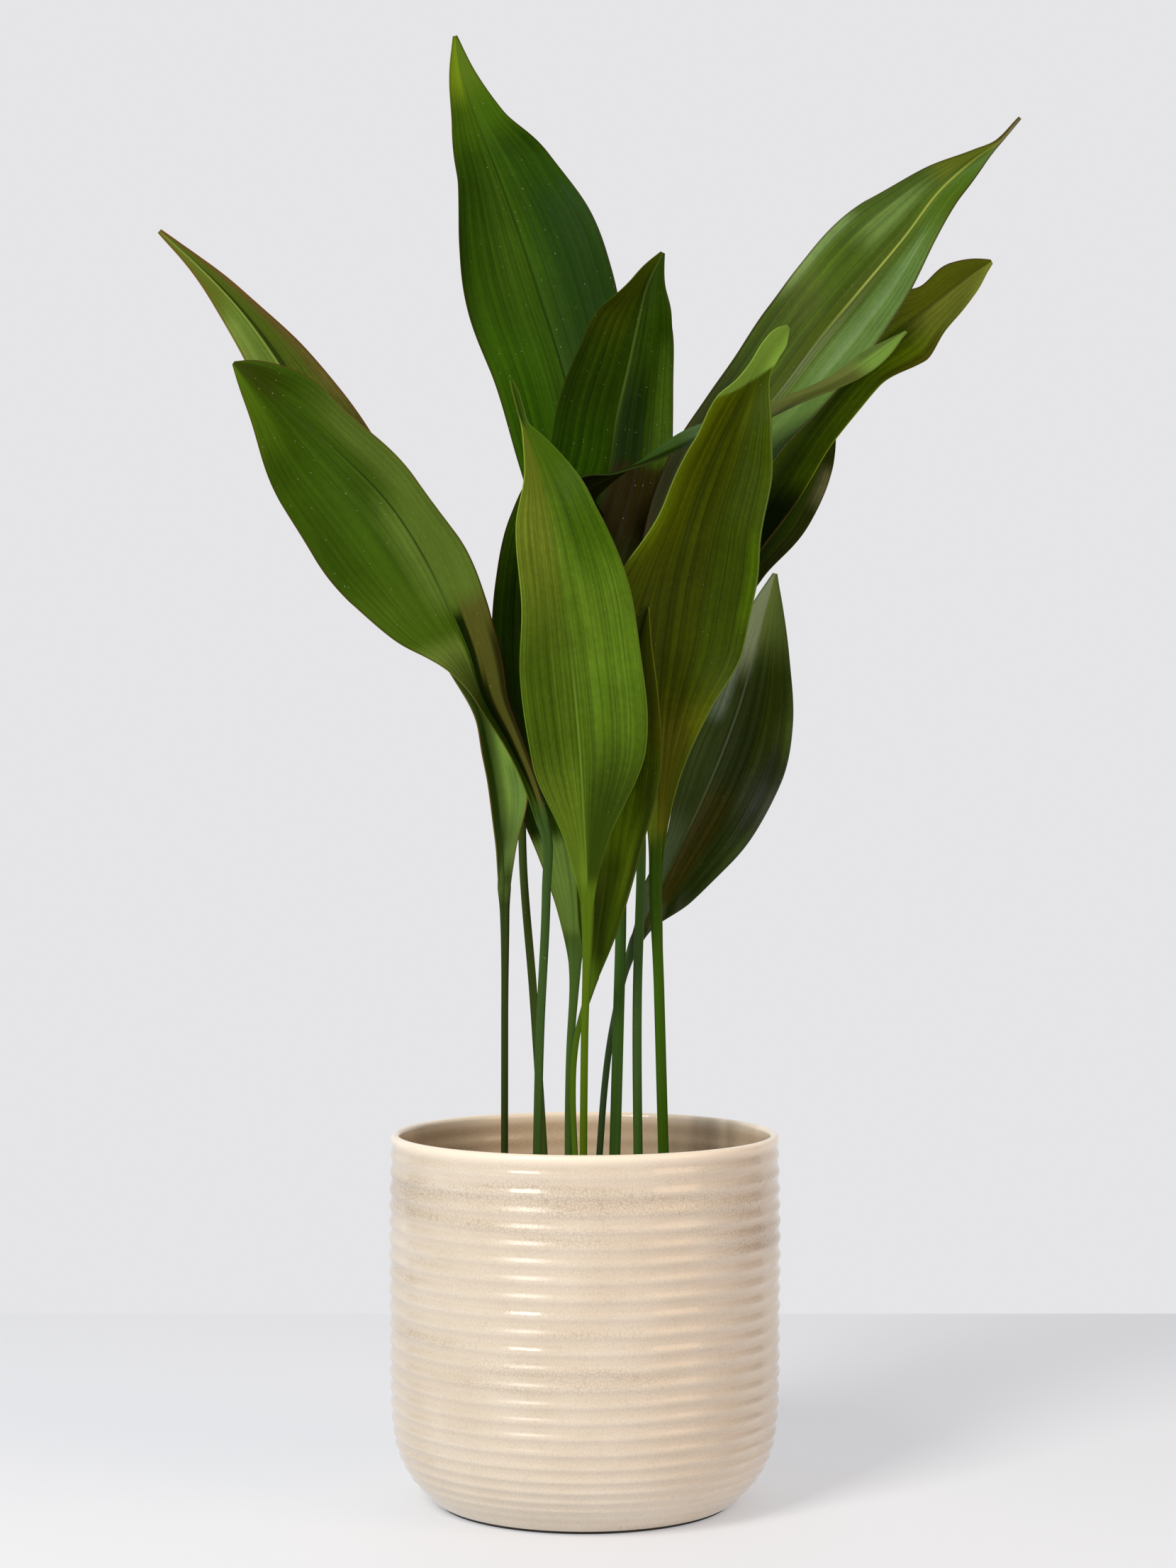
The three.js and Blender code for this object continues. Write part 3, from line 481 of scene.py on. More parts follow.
def curve_through(knots, rows, distances):
    """A smooth curve through rows of numbers at the knots, and its slope, at each distance."""
    knots = np.asarray(knots, float)
    rows = np.asarray(rows, float)
    steps = np.diff(knots)
    slopes = np.diff(rows, axis=0) / steps[:, None]
    tangents = np.empty_like(rows)
    tangents[0] = slopes[0]
    tangents[-1] = slopes[-1]
    before = steps[:-1, None]
    after = steps[1:, None]
    tangents[1:-1] = (slopes[:-1] * after + slopes[1:] * before) / (before + after)
    # Past x, y and z come widths and angles, and those never swing beyond their stations.
    least = 3 * np.minimum(np.abs(slopes[:-1]), np.abs(slopes[1:]))
    steady = np.where(slopes[:-1] * slopes[1:] > 0, np.clip(tangents[1:-1], -least, least), 0)
    tangents[1:-1, 3:] = steady[:, 3:]
    i = np.clip(np.searchsorted(knots, distances, side="right") - 1, 0, len(steps) - 1)
    h = steps[i][:, None]
    t = (distances[:, None] - knots[i][:, None]) / h
    a, b = rows[i], rows[i + 1]
    p, q = tangents[i] * h, tangents[i + 1] * h
    bend = 3 * (b - a) - 2 * p - q
    twist = 2 * (a - b) + p + q
    return a + t * (p + t * (bend + t * twist)), (p + t * (2 * bend + 3 * t * twist)) / h


def radius_at(line, height):
    """The radius at each height, on a smooth line through points of height and radius."""
    knots, radii = np.array(sorted(line), float).T
    return curve_through(knots, radii[:, None], np.atleast_1d(height).astype(float))[0][:, 0]


def leaf_surface(leaf):
    """The leaf's upper and lower faces, row by row from the soil to the tip, and its fields."""
    stations = np.array(leaf["stations"], float)
    steps = np.linalg.norm(np.diff(stations[:, :3], axis=0), axis=1)
    knots = np.concatenate([[0], np.cumsum(steps)])
    start, end = knots[leaf["blade_start"]], knots[-1]
    share = np.linspace(0, 1, ROWS + 1)
    on_petiole = share / PETIOLE_ROWS * start
    on_blade = start + (share - PETIOLE_ROWS) / (1 - PETIOLE_ROWS) * (end - start)
    distances = np.where(share < PETIOLE_ROWS, on_petiole, on_blade)
    row, slope = curve_through(knots, stations, distances)
    middle = row[:, :3]
    half = np.maximum(row[:, 3], 0.5)[:, None]
    roll = np.radians(row[:, 4])[:, None]
    fold = np.radians(row[:, 5])[:, None]
    along = slope[:, :3] / np.linalg.norm(slope[:, :3], axis=1)[:, None]
    flat_side = np.cross([0, 1, 0], along)
    flat_side /= np.linalg.norm(flat_side, axis=1)[:, None]
    flat_face = np.cross(flat_side, along)
    side = flat_side * np.cos(roll) + flat_face * np.sin(roll)
    face = flat_face * np.cos(roll) - flat_side * np.sin(roll)

    d = distances[:, None]
    v = np.linspace(-1, 1, COLUMNS + 1)[None, :]
    size = np.abs(v)
    from_midrib = size * half
    blade = smooth(start, start + PETIOLE_BLEND, d)
    to_tip = np.clip((d - start) / (end - start), 0, 1)
    stalk_half = np.minimum(half, PETIOLE_MAX_HALF)
    height, length, phase = leaf["wave"]
    turn = 2 * np.pi * d / length + phase
    sway = np.where(v < 0, np.sin(turn), np.sin(1.15 * turn + 1.9))
    wave = height * blade * np.minimum(1, half / 25) * sway

    # The pleats are shallow, rounded ridges with a sharp crease between them.
    pleats, pleat_height = leaf["pleats"]
    folds = size * pleats + 0.12 * np.sin(d / 55 + 3 * v + phase)
    ridge = 0.55 - np.abs((folds % 1) * 2 - 1) ** 1.4
    uneven = 1 + 0.35 * np.sin(7 * v + phase * 2 + d / 90)
    pleat = ridge * uneven * pleat_height * blade * np.minimum(1, half / 28) * smooth(0.03, 0.16, size)
    groove = -0.4 * blade * (1 - 0.6 * to_tip) * np.exp(-((from_midrib / 1.2) ** 2))

    # The petiole is nearly round; where it runs out into the blade its sides are drawn out softly.
    run_out = smooth(0, 5, half - stalk_half)
    reach = stalk_half * (1 + 0.5 * run_out)
    round_part = np.clip(1 - (from_midrib / reach) ** 2, 0, 1) ** (0.5 + 1.5 * run_out)
    over = (1 - blade) * PETIOLE_OVER * stalk_half * round_part
    rib = MIDRIB_DEPTH * (1 - 0.75 * to_tip) * np.maximum(0, 1 - from_midrib / MIDRIB_HALF_WIDTH)
    under = BLADE_EDGE + (1 - blade) * PETIOLE_UNDER * stalk_half * round_part + blade * rib

    lift = half * np.sin(fold) * size ** CHANNEL + wave * v * v + pleat + groove
    steepness = np.tan(fold) * CHANNEL * size ** (CHANNEL - 1) * np.sign(v)
    out = face[:, None, :] - steepness[:, :, None] * side[:, None, :]
    out /= np.linalg.norm(out, axis=2)[:, :, None]
    sheet = (
        middle[:, None, :]
        + side[:, None, :] * (v * half * np.cos(fold))[:, :, None]
        + face[:, None, :] * lift[:, :, None]
    )
    fields = {
        "across": v, "along": d, "to_tip": to_tip, "blade": blade,
        "from_midrib": from_midrib, "from_margin": half - from_midrib, "folds": folds,
    }
    if "lobe" in leaf:
        crease, slant = leaf["lobe"]
        fields["lobe"] = to_tip - crease - slant * v
    fields = {name: np.broadcast_to(values, lift.shape) for name, values in fields.items()}
    return sheet + out * over[:, :, None], sheet - out * under[:, :, None], fields


def leaf_tint_and_painted_light(leaf, fields):
    """Where the leaf turns another colour: that colour, with its strength as alpha.

    Besides the leaf's own colours, these are painted shade and painted sheen.
    """
    tint_and_painted_light = np.zeros(fields["across"].shape + (4,))
    for colour, strength, *where in leaf["tints_and_painted_light"]:
        cover = strength * smooth(0.0, 0.25, fields["blade"])
        for field, low, high in where:
            cover = cover * smooth(low, high, fields[field])
        left = tint_and_painted_light[..., 3] * (1 - cover)
        total = cover + left
        for channel, value in enumerate(linear(colour)[:3]):
            tint_and_painted_light[..., channel] = (cover * value + left * tint_and_painted_light[..., channel]) / np.maximum(total, 1e-6)
        tint_and_painted_light[..., 3] = total
    return tint_and_painted_light


def cells_of(size):
    """The scale of a pattern whose cells are this many millimetres across."""
    return 1 / (size * MM)


def leaf_tissue(tree, leaf, lie, underside):
    """The green of the tissue, in broad tones about 10 mm wide, and its other colours where it has any.

    Among those other colours are painted shade and painted sheen.
    """
    tones_lie = add_node(tree, "Mapping", {"Vector": lie, "Scale": (4.5, 0.009, 1)})
    tones = add_node(tree, "TexNoise", {"Vector": tones_lie, "Scale": 1.0, "Detail": 2.0})
    toned = add_node(tree, "MapRange", {"Value": tones, "From Min": 0.35, "From Max": 0.65})
    green = add_node(tree, "MixRGB", {
        "Fac": toned, "Color1": linear(leaf["deep"]), "Color2": linear(leaf["lit"])})
    tint_and_painted_light = add_node(tree, "Attribute", attribute_name="tint_and_painted_light")
    green = add_node(tree, "MixRGB", {
        "Fac": tint_and_painted_light.outputs["Alpha"], "Color1": green, "Color2": tint_and_painted_light.outputs["Color"]})
    if underside:
        green = add_node(tree, "MixRGB", {
            "Fac": 0.8, "Color1": green, "Color2": linear(leaf.get("back", "4a5c1c"))})
    return green, tones


def leaf_shade(tree, leaf, field, place, cloud, veined):
    """How light the tissue is: clouded, puckered every 3 mm or so, veined, and darkened between pleats.

    The dark lines between the pleats are painted shade in their creases.
    """
    clouded = add_node(tree, "MapRange", {
        "Value": cloud, "From Min": 0.35, "From Max": 0.65, "To Min": 0.88, "To Max": 1.12})
    pucker = add_node(tree, "TexNoise", {"Vector": place, "Scale": cells_of(100 / 33), "Detail": 2.0})
    puckered = add_node(tree, "MapRange", {
        "Value": pucker, "From Min": 0.35, "From Max": 0.65, "To Min": 0.93, "To Max": 1.07})
    # Painted shade: a thin dark line along each crease between the pleats.
    crease_from = add_node(tree, "Math", {0: field["folds"], 1: 0.5}, operation="PINGPONG")
    crease_shade = add_node(tree, "MapRange", {
        "Value": crease_from, "From Min": 0.01, "From Max": 0.055, "To Min": 0.62})
    shade = clouded
    for part in (veined, puckered, crease_shade):
        shade = add_node(tree, "Math", {0: shade, 1: part}, operation="MULTIPLY")
    strength = leaf.get("veins", 1.0)
    return add_node(tree, "Math", {0: shade, 1: strength, 2: 1 - strength}, operation="MULTIPLY_ADD")


def leaf_lines(tree, leaf, field, place, veined, green):
    """Over the green lie the line of the midrib, that of the margin, the petiole's own green, and dust."""
    # The midrib shows on a part of the blade only.
    rib_colour, rib_start, rib_end, rib_strength = leaf["midrib"]
    fade = 0.08
    rib_low = add_node(tree, "MapRange", {
        "Value": field["to_tip"], "From Min": rib_start - fade, "From Max": rib_start + fade})
    rib_high = add_node(tree, "MapRange", {
        "Value": field["to_tip"], "From Min": rib_end + fade, "From Max": rib_end - fade,
        "To Max": rib_strength})
    rib_width = add_node(tree, "MapRange", {
        "Value": field["from_midrib"], "From Min": 1.1, "From Max": 0.4})
    rib = add_node(tree, "Math", {0: rib_low, 1: rib_high}, operation="MULTIPLY")
    rib = add_node(tree, "Math", {0: rib, 1: rib_width}, operation="MULTIPLY")
    # The margin is a cartilage line about half a millimetre wide.
    edge_colour, edge_strength = leaf["margin"]
    edge_width = add_node(tree, "MapRange", {
        "Value": field["from_margin"], "From Min": 0.75, "From Max": 0.35, "To Max": edge_strength})
    edge = add_node(tree, "Math", {0: edge_width, 1: field["blade"]}, operation="MULTIPLY")
    stalk = add_node(tree, "MapRange", {"Value": field["blade"], "From Min": 0.3, "From Max": 0.02})
    petiole = add_node(tree, "VectorMath", {
        0: linear(leaf["petiole"])[:3], "Scale": veined}, operation="SCALE")
    # Dust and mineral specks, half a millimetre across, in about one of five cells of 2.5 mm.
    dust = add_node(tree, "TexVoronoi", {"Vector": place, "Scale": cells_of(2.5)})
    chance = add_node(tree, "TexWhiteNoise", {"Vector": dust.outputs["Position"]})
    rare = add_node(tree, "MapRange", {
        "Value": chance, "From Min": 0.8, "From Max": 1.0, "To Max": 0.7 * leaf["specks"]})
    spot = add_node(tree, "MapRange", {
        "Value": dust.outputs["Distance"], "From Min": 0.15, "From Max": 0.08})
    speck = add_node(tree, "Math", {0: rare, 1: spot}, operation="MULTIPLY")
    layers = [
        (rib, linear(rib_colour)), (edge, linear(edge_colour)), (stalk, petiole), (speck, linear("a8b88c")),
    ]
    for cover, colour in layers:
        green = add_node(tree, "MixRGB", {"Fac": cover, "Color1": green, "Color2": colour})
    return green


def leaf_finish(name, leaf, underside):
    """A waxy living leaf: a satin cuticle over green tissue, with fine veins that run along it.

    The eye gets broad soft tones, thin creases between the pleats darkened with painted shade, hair-fine
    veins, a thin line along the midrib and the margin, and a little mineral dust; its tints add painted
    shade and painted sheen. The underside is duller.
    """
    material, tree = new_material(f"{name}_{'underside' if underside else 'cuticle'}")
    field = {n: add_node(tree, "Attribute", attribute_name=n).outputs["Fac"] for n in FIELDS}
    place = add_node(tree, "TexCoord").outputs["Object"]
    # The patterns that follow a leaf run across and along it, and no two leaves get the same part of them.
    lie = add_node(tree, "CombineXYZ", {
        "X": field["across"], "Y": field["along"], "Z": 3.7 * list(LEAVES).index(name)})
    green, tones = leaf_tissue(tree, leaf, lie, underside)
    cloud = add_node(tree, "TexNoise", {"Vector": place, "Scale": cells_of(40), "Detail": 3.0})
    # Veins 1 to 2 mm apart, drawn a little coarser than the real ones so that they show.
    veins_lie = add_node(tree, "Mapping", {"Vector": lie, "Scale": (30.0, 0.006, 1)})
    veins = add_node(tree, "TexNoise", {"Vector": veins_lie, "Scale": 1.0, "Detail": 2.0})
    veined = add_node(tree, "MapRange", {
        "Value": veins, "From Min": 0.38, "From Max": 0.62, "To Min": 0.78, "To Max": 1.14})
    # Towards a narrow tip the veins run together and no longer show one by one.
    half = add_node(tree, "Math", {0: field["from_midrib"], 1: field["from_margin"]})
    spread = add_node(tree, "MapRange", {"Value": half, "From Min": 8.0, "From Max": 24.0})
    shade = leaf_shade(tree, leaf, field, place, cloud, veined)
    shade = add_node(tree, "MapRange", {"Value": spread, "To Min": 1.0, "To Max": shade})
    green = add_node(tree, "VectorMath", {0: green, "Scale": shade}, operation="SCALE")
    green = leaf_lines(tree, leaf, field, place, veined, green)

    relief = add_node(tree, "Math", {0: cloud, 1: 0.3, 2: veins}, operation="MULTIPLY_ADD")
    relief_shows = add_node(tree, "Math", {0: spread, 1: 0.35}, operation="MULTIPLY")
    bump = add_node(tree, "Bump", {"Strength": relief_shows, "Distance": 0.5 * MM, "Height": relief})
    roughness = leaf["roughness"] + (0.15 if underside else 0)
    rough = add_node(tree, "MapRange", {
        "Value": tones, "From Min": 0.3, "From Max": 0.7, "To Min": roughness, "To Max": roughness + 0.12})
    sheen = leaf.get("sheen", 0.06)
    shader = add_node(tree, "BsdfPrincipled", {
        "Base Color": green, "Roughness": rough, "IOR": 1.42, "Specular IOR Level": sheen, "Normal": bump})
    add_node(tree, "OutputMaterial", {"Surface": shader})
    return material


def grow_leaf(name, leaf):
    """A grid wrapped round the leaf: its first half is the upper face and its second half the lower one.

    A thickened sheet would fold into itself where the petiole is thicker than it is wide.
    """
    clear_selection()
    around = 2 * COLUMNS + 2
    bpy.ops.mesh.primitive_grid_add(x_subdivisions=around, y_subdivisions=ROWS, size=1)
    piece = bpy.context.active_object
    piece.name = name + "_fine"
    mesh = piece.data
    flat = points_of(mesh)
    place = np.rint((flat[:, 0] + 0.5) * around).astype(int) % around
    line = np.rint((flat[:, 1] + 0.5) * ROWS).astype(int)
    lower = place > COLUMNS
    column = np.where(lower, around - 1 - place, place)
    upper_face, lower_face, fields = leaf_surface(leaf)
    points = np.where(lower[:, None], lower_face[line, column], upper_face[line, column])
    mesh.vertices.foreach_set("co", (points * MM).ravel())
    for field in FIELDS:
        add_field(mesh, field, fields[field][line, column])
    layer = mesh.attributes.new("tint_and_painted_light", "FLOAT_COLOR", "POINT")
    layer.data.foreach_set("color", leaf_tint_and_painted_light(leaf, fields)[line, column].astype(np.float32).ravel())
    for underside in (False, True):
        mesh.materials.append(leaf_finish(name, leaf, underside))
    corners = np.empty(len(mesh.loops), int)
    mesh.loops.foreach_get("vertex_index", corners)
    under = lower[corners].reshape(-1, 4).all(axis=1)
    mesh.polygons.foreach_set("material_index", under.astype(np.int32))
    bpy.ops.object.mode_set(mode="EDIT")
    bpy.ops.mesh.select_all(action="SELECT")
    bpy.ops.mesh.remove_doubles(threshold=1e-6)
    bpy.ops.mesh.select_all(action="SELECT")
    bpy.ops.mesh.fill_holes(sides=0)
    bpy.ops.mesh.select_all(action="SELECT")
    bpy.ops.mesh.normals_make_consistent(inside=False)
    bpy.ops.object.mode_set(mode="OBJECT")
    bpy.ops.object.shade_smooth_by_angle(angle=SMOOTH_ANGLE)
    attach(piece, "root")
    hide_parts(name)


def spin_outline(name, outline):
    """A point is drawn out along half the outline, then spun once round the upright axis."""
    clear_selection()
    bpy.ops.mesh.primitive_plane_add(size=0.001)
    piece = bpy.context.active_object
    piece.name = name
    bpy.ops.object.mode_set(mode="EDIT")
    bpy.ops.mesh.merge(type="CENTER")
    radius, z = outline[0]
    bpy.ops.transform.translate(value=(radius * MM, 0, z * MM))
    for (radius, z), (next_radius, next_z) in zip(outline, outline[1:]):
        step = ((next_radius - radius) * MM, 0, (next_z - z) * MM)
        bpy.ops.mesh.extrude_region_move(TRANSFORM_OT_translate={"value": step})
    bpy.ops.mesh.select_all(action="SELECT")
    bpy.ops.mesh.spin(steps=TURN_STEPS, angle=2 * math.pi, center=(0, 0, 0), axis=(0, 0, 1))
    bpy.ops.mesh.select_all(action="SELECT")
    bpy.ops.mesh.remove_doubles(threshold=2e-6)
    bpy.ops.mesh.normals_make_consistent(inside=False)
    bpy.ops.object.mode_set(mode="OBJECT")
    return piece


def pot_outline():
    """Half of the pot's section, from under the foot up over the ribs and the lip and down the inside."""
    def body(z):
        return float(radius_at(BODY, z)[0])

    outline = [(0, 0), (30, 0), (60, 0), (FOOT_RADIUS - 2, 0), (FOOT_RADIUS, 0.15)]
    outline += [(FOOT_RADIUS + 0.8, 0.6), (FOOT_RADIUS + FOOT_CHAMFER, FOOT_CHAMFER + 0.3), (body(3.2), 3.2)]
    outline.append((body(BODY_BOTTOM), BODY_BOTTOM))
    stops = [BODY_BOTTOM] + RIB_CRESTS + [BODY_TOP]
    for low, high in zip(stops[:-1], stops[1:]):
        depth = RIB_DEPTH * min(1, (high - low) / 8.5)
        parts = 10
        for k in range(1, parts + 1):
            t = k / parts
            z = low + (high - low) * t
            crest = (0.5 + 0.5 * math.cos(2 * math.pi * t)) ** 1.6
            fade = 1 if high < BODY_TOP else 1 - 0.3 * t
            outline.append((body(z) - depth * (1 - crest) * fade, z))
    # A slight neck under the lip
    outline += [(body(z) - inwards, z) for z, inwards in NECK]
    outline += [(LIP_RADIUS - inwards, z) for z, inwards in LIP_FOOT]
    lip_half = LIP_THICKNESS / 2
    for k in range(13):
        angle = math.pi * k / 12
        outline.append((LIP_RADIUS - lip_half + lip_half * math.cos(angle),
                        LIP_TOP - lip_half + lip_half * math.sin(angle)))
    for z in list(np.arange(191, SOIL_TOP, -1.5)) + [160, 140, 120, 100, 80, 60, 45, 30, 22, 15, 12]:
        ring = RING_DEPTH * math.sin(z * 0.75) if z > SOIL_TOP else 0
        outline.append((float(radius_at(INNER, z)[0]) + ring, z))
    outline += [(INNER[-1][1], BASE_THICKNESS), (40, BASE_THICKNESS), (0, BASE_THICKNESS)]
    return outline


def glaze_finish():
    """Stoneware under a warm beige crackle glaze, turned on a wheel and dipped.

    The glaze is glassy: on its smoothest ribs it mirrors the lamp as small hard streaks, on the others the
    light is softer. Where it lies thick, in bands round the pot, its crackle shows as fine grey-brown lines.
    """
    material, tree = new_material("crackle_glazed_stoneware")
    groove, glassy, inside = [
        add_node(tree, "Attribute", attribute_name=n).outputs["Fac"] for n in ("groove", "glassy", "inside")]
    place = add_node(tree, "TexCoord").outputs["Object"]
    height = add_node(tree, "SeparateXYZ", {0: place}).outputs["Z"]

    # Crackle cells of about 2 mm, with ragged edges.
    ragged = add_node(tree, "TexNoise", {"Vector": place, "Scale": cells_of(2), "Detail": 2.0})
    warped = add_node(tree, "VectorMath", {
        0: ragged.outputs["Color"], 1: [1.4 * MM] * 3, 2: place}, operation="MULTIPLY_ADD")
    cells = add_node(tree, "TexVoronoi", {
        "Vector": warped, "Scale": cells_of(100 / 52)}, feature="DISTANCE_TO_EDGE")
    crack = add_node(tree, "MapRange", {"Value": cells, "From Min": 0.1, "From Max": 0.02})

    # Bands 17 mm high round the pot where the glaze lies thick, strongest a little below the rim.
    band_lie = add_node(tree, "Mapping", {"Vector": place, "Scale": (6.0, 6.0, 60.0)})
    bands = add_node(tree, "TexNoise", {"Vector": band_lie, "Scale": 1.0, "Detail": 2.0})
    high = add_node(tree, "MapRange", {
        "Value": height, "From Min": 135 * MM, "From Max": 165 * MM, "To Min": -0.11, "To Max": 0.12})
    low = add_node(tree, "MapRange", {
        "Value": height, "From Min": 174 * MM, "From Max": 186 * MM, "To Max": -0.16})
    laid = add_node(tree, "Math", {0: bands, 1: high}, operation="ADD")
    laid = add_node(tree, "Math", {0: laid, 1: low}, operation="ADD")
    thick = add_node(tree, "MapRange", {"Value": laid, "From Min": 0.48, "From Max": 0.7})
    cloud = add_node(tree, "TexNoise", {"Vector": place, "Scale": cells_of(100 / 3), "Detail": 3.0})
    clouded = add_node(tree, "MapRange", {"Value": cloud, "From Min": 0.35, "From Max": 0.65})

    # The glaze is darker in the grooves, where it lies thick, and along its cracks. Inside the pot it is
    # painted
    # browner: painted shade, as little light reaches in. The lip is paler where the glaze ran thin, and
    # painted
    # lighter still: painted light on its rounded top. The band under the foot is painted near black: a
    # painted contact shadow where the pot stands on the floor, and it is matte there.
    sunk = add_node(tree, "Math", {0: groove, 1: 0.18}, operation="MULTIPLY")
    thick_part = add_node(tree, "Math", {0: thick, 1: 0.4}, operation="MULTIPLY")
    crack_part = add_node(tree, "Math", {0: thick, 1: 0.42, 2: 0.12}, operation="MULTIPLY_ADD")
    crack_part = add_node(tree, "Math", {0: crack, 1: crack_part}, operation="MULTIPLY")
    # Painted shade inside the pot: browner, as little light reaches in.
    inside_shade = add_node(tree, "Math", {0: inside, 1: 0.5}, operation="MULTIPLY")
    # The lip is paler where the glaze runs thin, and painted lighter still: painted light on its top.
    lip = add_node(tree, "MapRange", {
        "Value": height, "From Min": 191 * MM, "From Max": 195.5 * MM, "To Max": 0.95})
    # Painted contact shadow: a near-black band under the foot, which is also matte.
    foot_contact_shadow = add_node(tree, "MapRange", {"Value": height, "From Min": 2.1 * MM, "From Max": 1.5 * MM})
    colour = add_node(tree, "MixRGB", {
        "Fac": clouded, "Color1": linear("d9ccba"), "Color2": linear("dfd4c4")})
    layers = [
        (sunk, "c8b298"), (thick_part, "b8a58c"), (crack_part, "806e5a"),
        (inside_shade, "cdb089"), (lip, "faecd8"), (foot_contact_shadow, "2a221b"),
    ]
    for cover, over in layers:
        colour = add_node(tree, "MixRGB", {"Fac": cover, "Color1": colour, "Color2": linear(over)})

    relief = add_node(tree, "Math", {0: crack, 1: -0.15, 2: cloud}, operation="MULTIPLY_ADD")
    bump = add_node(tree, "Bump", {"Strength": 0.2, "Distance": 0.4 * MM, "Height": relief})
    rough = add_node(tree, "MapRange", {"Value": glassy, "To Min": 0.265, "To Max": 0.06})
    rough = add_node(tree, "MapRange", {"Value": foot_contact_shadow, "To Min": rough, "To Max": 0.8})
    shader = add_node(tree, "BsdfPrincipled", {
        "Base Color": colour, "Roughness": rough, "IOR": 1.5, "Normal": bump})
    add_node(tree, "OutputMaterial", {"Surface": shader})
    return material


def throw_pot():
    pot = spin_outline("pot_thrown", pot_outline())
    mesh = pot.data
    points = points_of(mesh)
    radius = np.hypot(points[:, 0], points[:, 1]) / MM
    z = points[:, 2] / MM
    plain = radius_at(BODY, np.clip(z, 0, BODY[-1][0]))
    depth = np.where((z > BODY_BOTTOM) & (radius > 82), np.clip((plain - radius) / RIB_DEPTH, 0, 1), 0)
    inside = (radius < plain - 3) & (z > 8)
    # It is glassiest on its smoothest ribs, towards both sides and inside.
    smoothest = sum(smooth(7, 4, np.abs(z - height)) for height in GLASSY_HEIGHTS)
    smoothest = smoothest + smooth(0.5, 0.86, np.abs(points[:, 0]) / MM / np.maximum(radius, 1)) + inside
    add_field(mesh, "groove", depth)
    add_field(mesh, "glassy", np.clip(smoothest, 0, 1))
    add_field(mesh, "inside", inside)
    # A wheel-thrown pot is never quite true: its ribs rise and dip by a third of a millimetre.
    angle = np.arctan2(points[:, 1], points[:, 0])
    free = smooth(6, 20, z) * (1 - smooth(180, 190, z))
    broad, fine = RIB_WAVER
    points[:, 2] += MM * free * (broad * np.sin(2 * angle + z / 23) + fine * np.sin(3 * angle - z / 9))
    dress(pot, points, glaze_finish())
    bpy.ops.object.shade_smooth_by_angle(angle=SMOOTH_ANGLE)
    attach(pot, "root")
    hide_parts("pot")


def soil_finish():
    """Peat potting mix: near-black brown crumbs with a few paler bits of bark, quite matte."""
    material, tree = new_material("peat_potting_mix")
    place = add_node(tree, "TexCoord").outputs["Object"]
    crumbs = add_node(tree, "TexNoise", {
        "Vector": place, "Scale": cells_of(3.125), "Detail": 6.0, "Roughness": 0.7})
    lumps = add_node(tree, "TexVoronoi", {"Vector": place, "Scale": cells_of(100 / 26)})
    tone = add_node(tree, "MapRange", {"Value": crumbs, "From Min": 0.3, "From Max": 0.75})
    colour = add_node(tree, "MixRGB", {
        "Fac": tone, "Color1": linear("1d140d"), "Color2": linear("4d3a29")})
    bump = add_node(tree, "Bump", {"Strength": 0.8, "Distance": 1.2 * MM, "Height": lumps})
    shader = add_node(tree, "BsdfPrincipled", {
        "Base Color": colour, "Roughness": 0.95, "Normal": bump})
    add_node(tree, "OutputMaterial", {"Surface": shader})
    return material


def fill_soil():
    """The soil's body is spun like the pot's inside, and its top is roughened into crumbs."""
    wall = [(radius, z) for z, radius in reversed(INNER) if z < SOIL_TOP]
    outline = [(0, SOIL_BOTTOM)]
    outline += [(radius - SOIL_GAP, max(z, SOIL_BOTTOM)) for radius, z in wall]
    outline.append((wall[-1][0] - SOIL_GAP, SOIL_TOP))
    for radius in np.arange(97, 1, -1.6):
        outline.append((float(radius), SOIL_TOP + SOIL_DOME * (1 - (radius / 100) ** 2)))
    outline.append((0, SOIL_TOP + SOIL_DOME))
    soil = spin_outline("soil_crumbs", outline)
    points = points_of(soil.data)
    x, y, z = (points / MM).T
    inside = smooth(98, 92, np.hypot(x, y)) * (z > SOIL_TOP - 0.2)
    rough = 0.8 * (np.sin(x / 9 + 1.3) * np.cos(y / 11) + 0.6 * np.sin((x - y) / 6))
    rng = np.random.default_rng(7)
    for size, height in CRUMBS:
        turn = rng.uniform(0, 2 * np.pi, CRUMB_WAVES)
        shift = rng.uniform(0, 2 * np.pi, CRUMB_WAVES)
        for k in range(CRUMB_WAVES):
            wavelength = size * rng.uniform(0.7, 1.4)
            lie = x * np.cos(turn[k]) + y * np.sin(turn[k])
            rough = rough + height * 0.35 * np.sin(lie / wavelength * 2 + shift[k])
    points[:, 2] += MM * inside * np.clip(rough, -1.6, 1.8)
    dress(soil, points, soil_finish())
    bpy.ops.object.shade_smooth()
    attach(soil, "root")
    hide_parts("soil")


def lay_floor():
    """A pale matt sheet that ends in a straight line behind the plant, where the wall begins."""
    clear_selection()
    bpy.ops.mesh.primitive_plane_add(size=1)
    floor = bpy.context.active_object
    floor.name = "pale_floor"
    bpy.ops.object.mode_set(mode="EDIT")
    bpy.ops.transform.resize(value=(FLOOR_WIDTH, FLOOR_DEPTH, 1))
    bpy.ops.transform.translate(value=(0, HORIZON - FLOOR_DEPTH / 2, 0))
    bpy.ops.object.mode_set(mode="OBJECT")
    material, tree = new_material("matt_white_laminate")
    matte = add_node(tree, "BsdfDiffuse", {"Color": linear("c4c6ca")})
    glow = add_node(tree, "Emission", {"Color": linear("eef0f5"), "Strength": 0.36})
    both = add_node(tree, "AddShader", {0: matte, 1: glow})
    add_node(tree, "OutputMaterial", {"Surface": both})
    floor.data.materials.append(material)


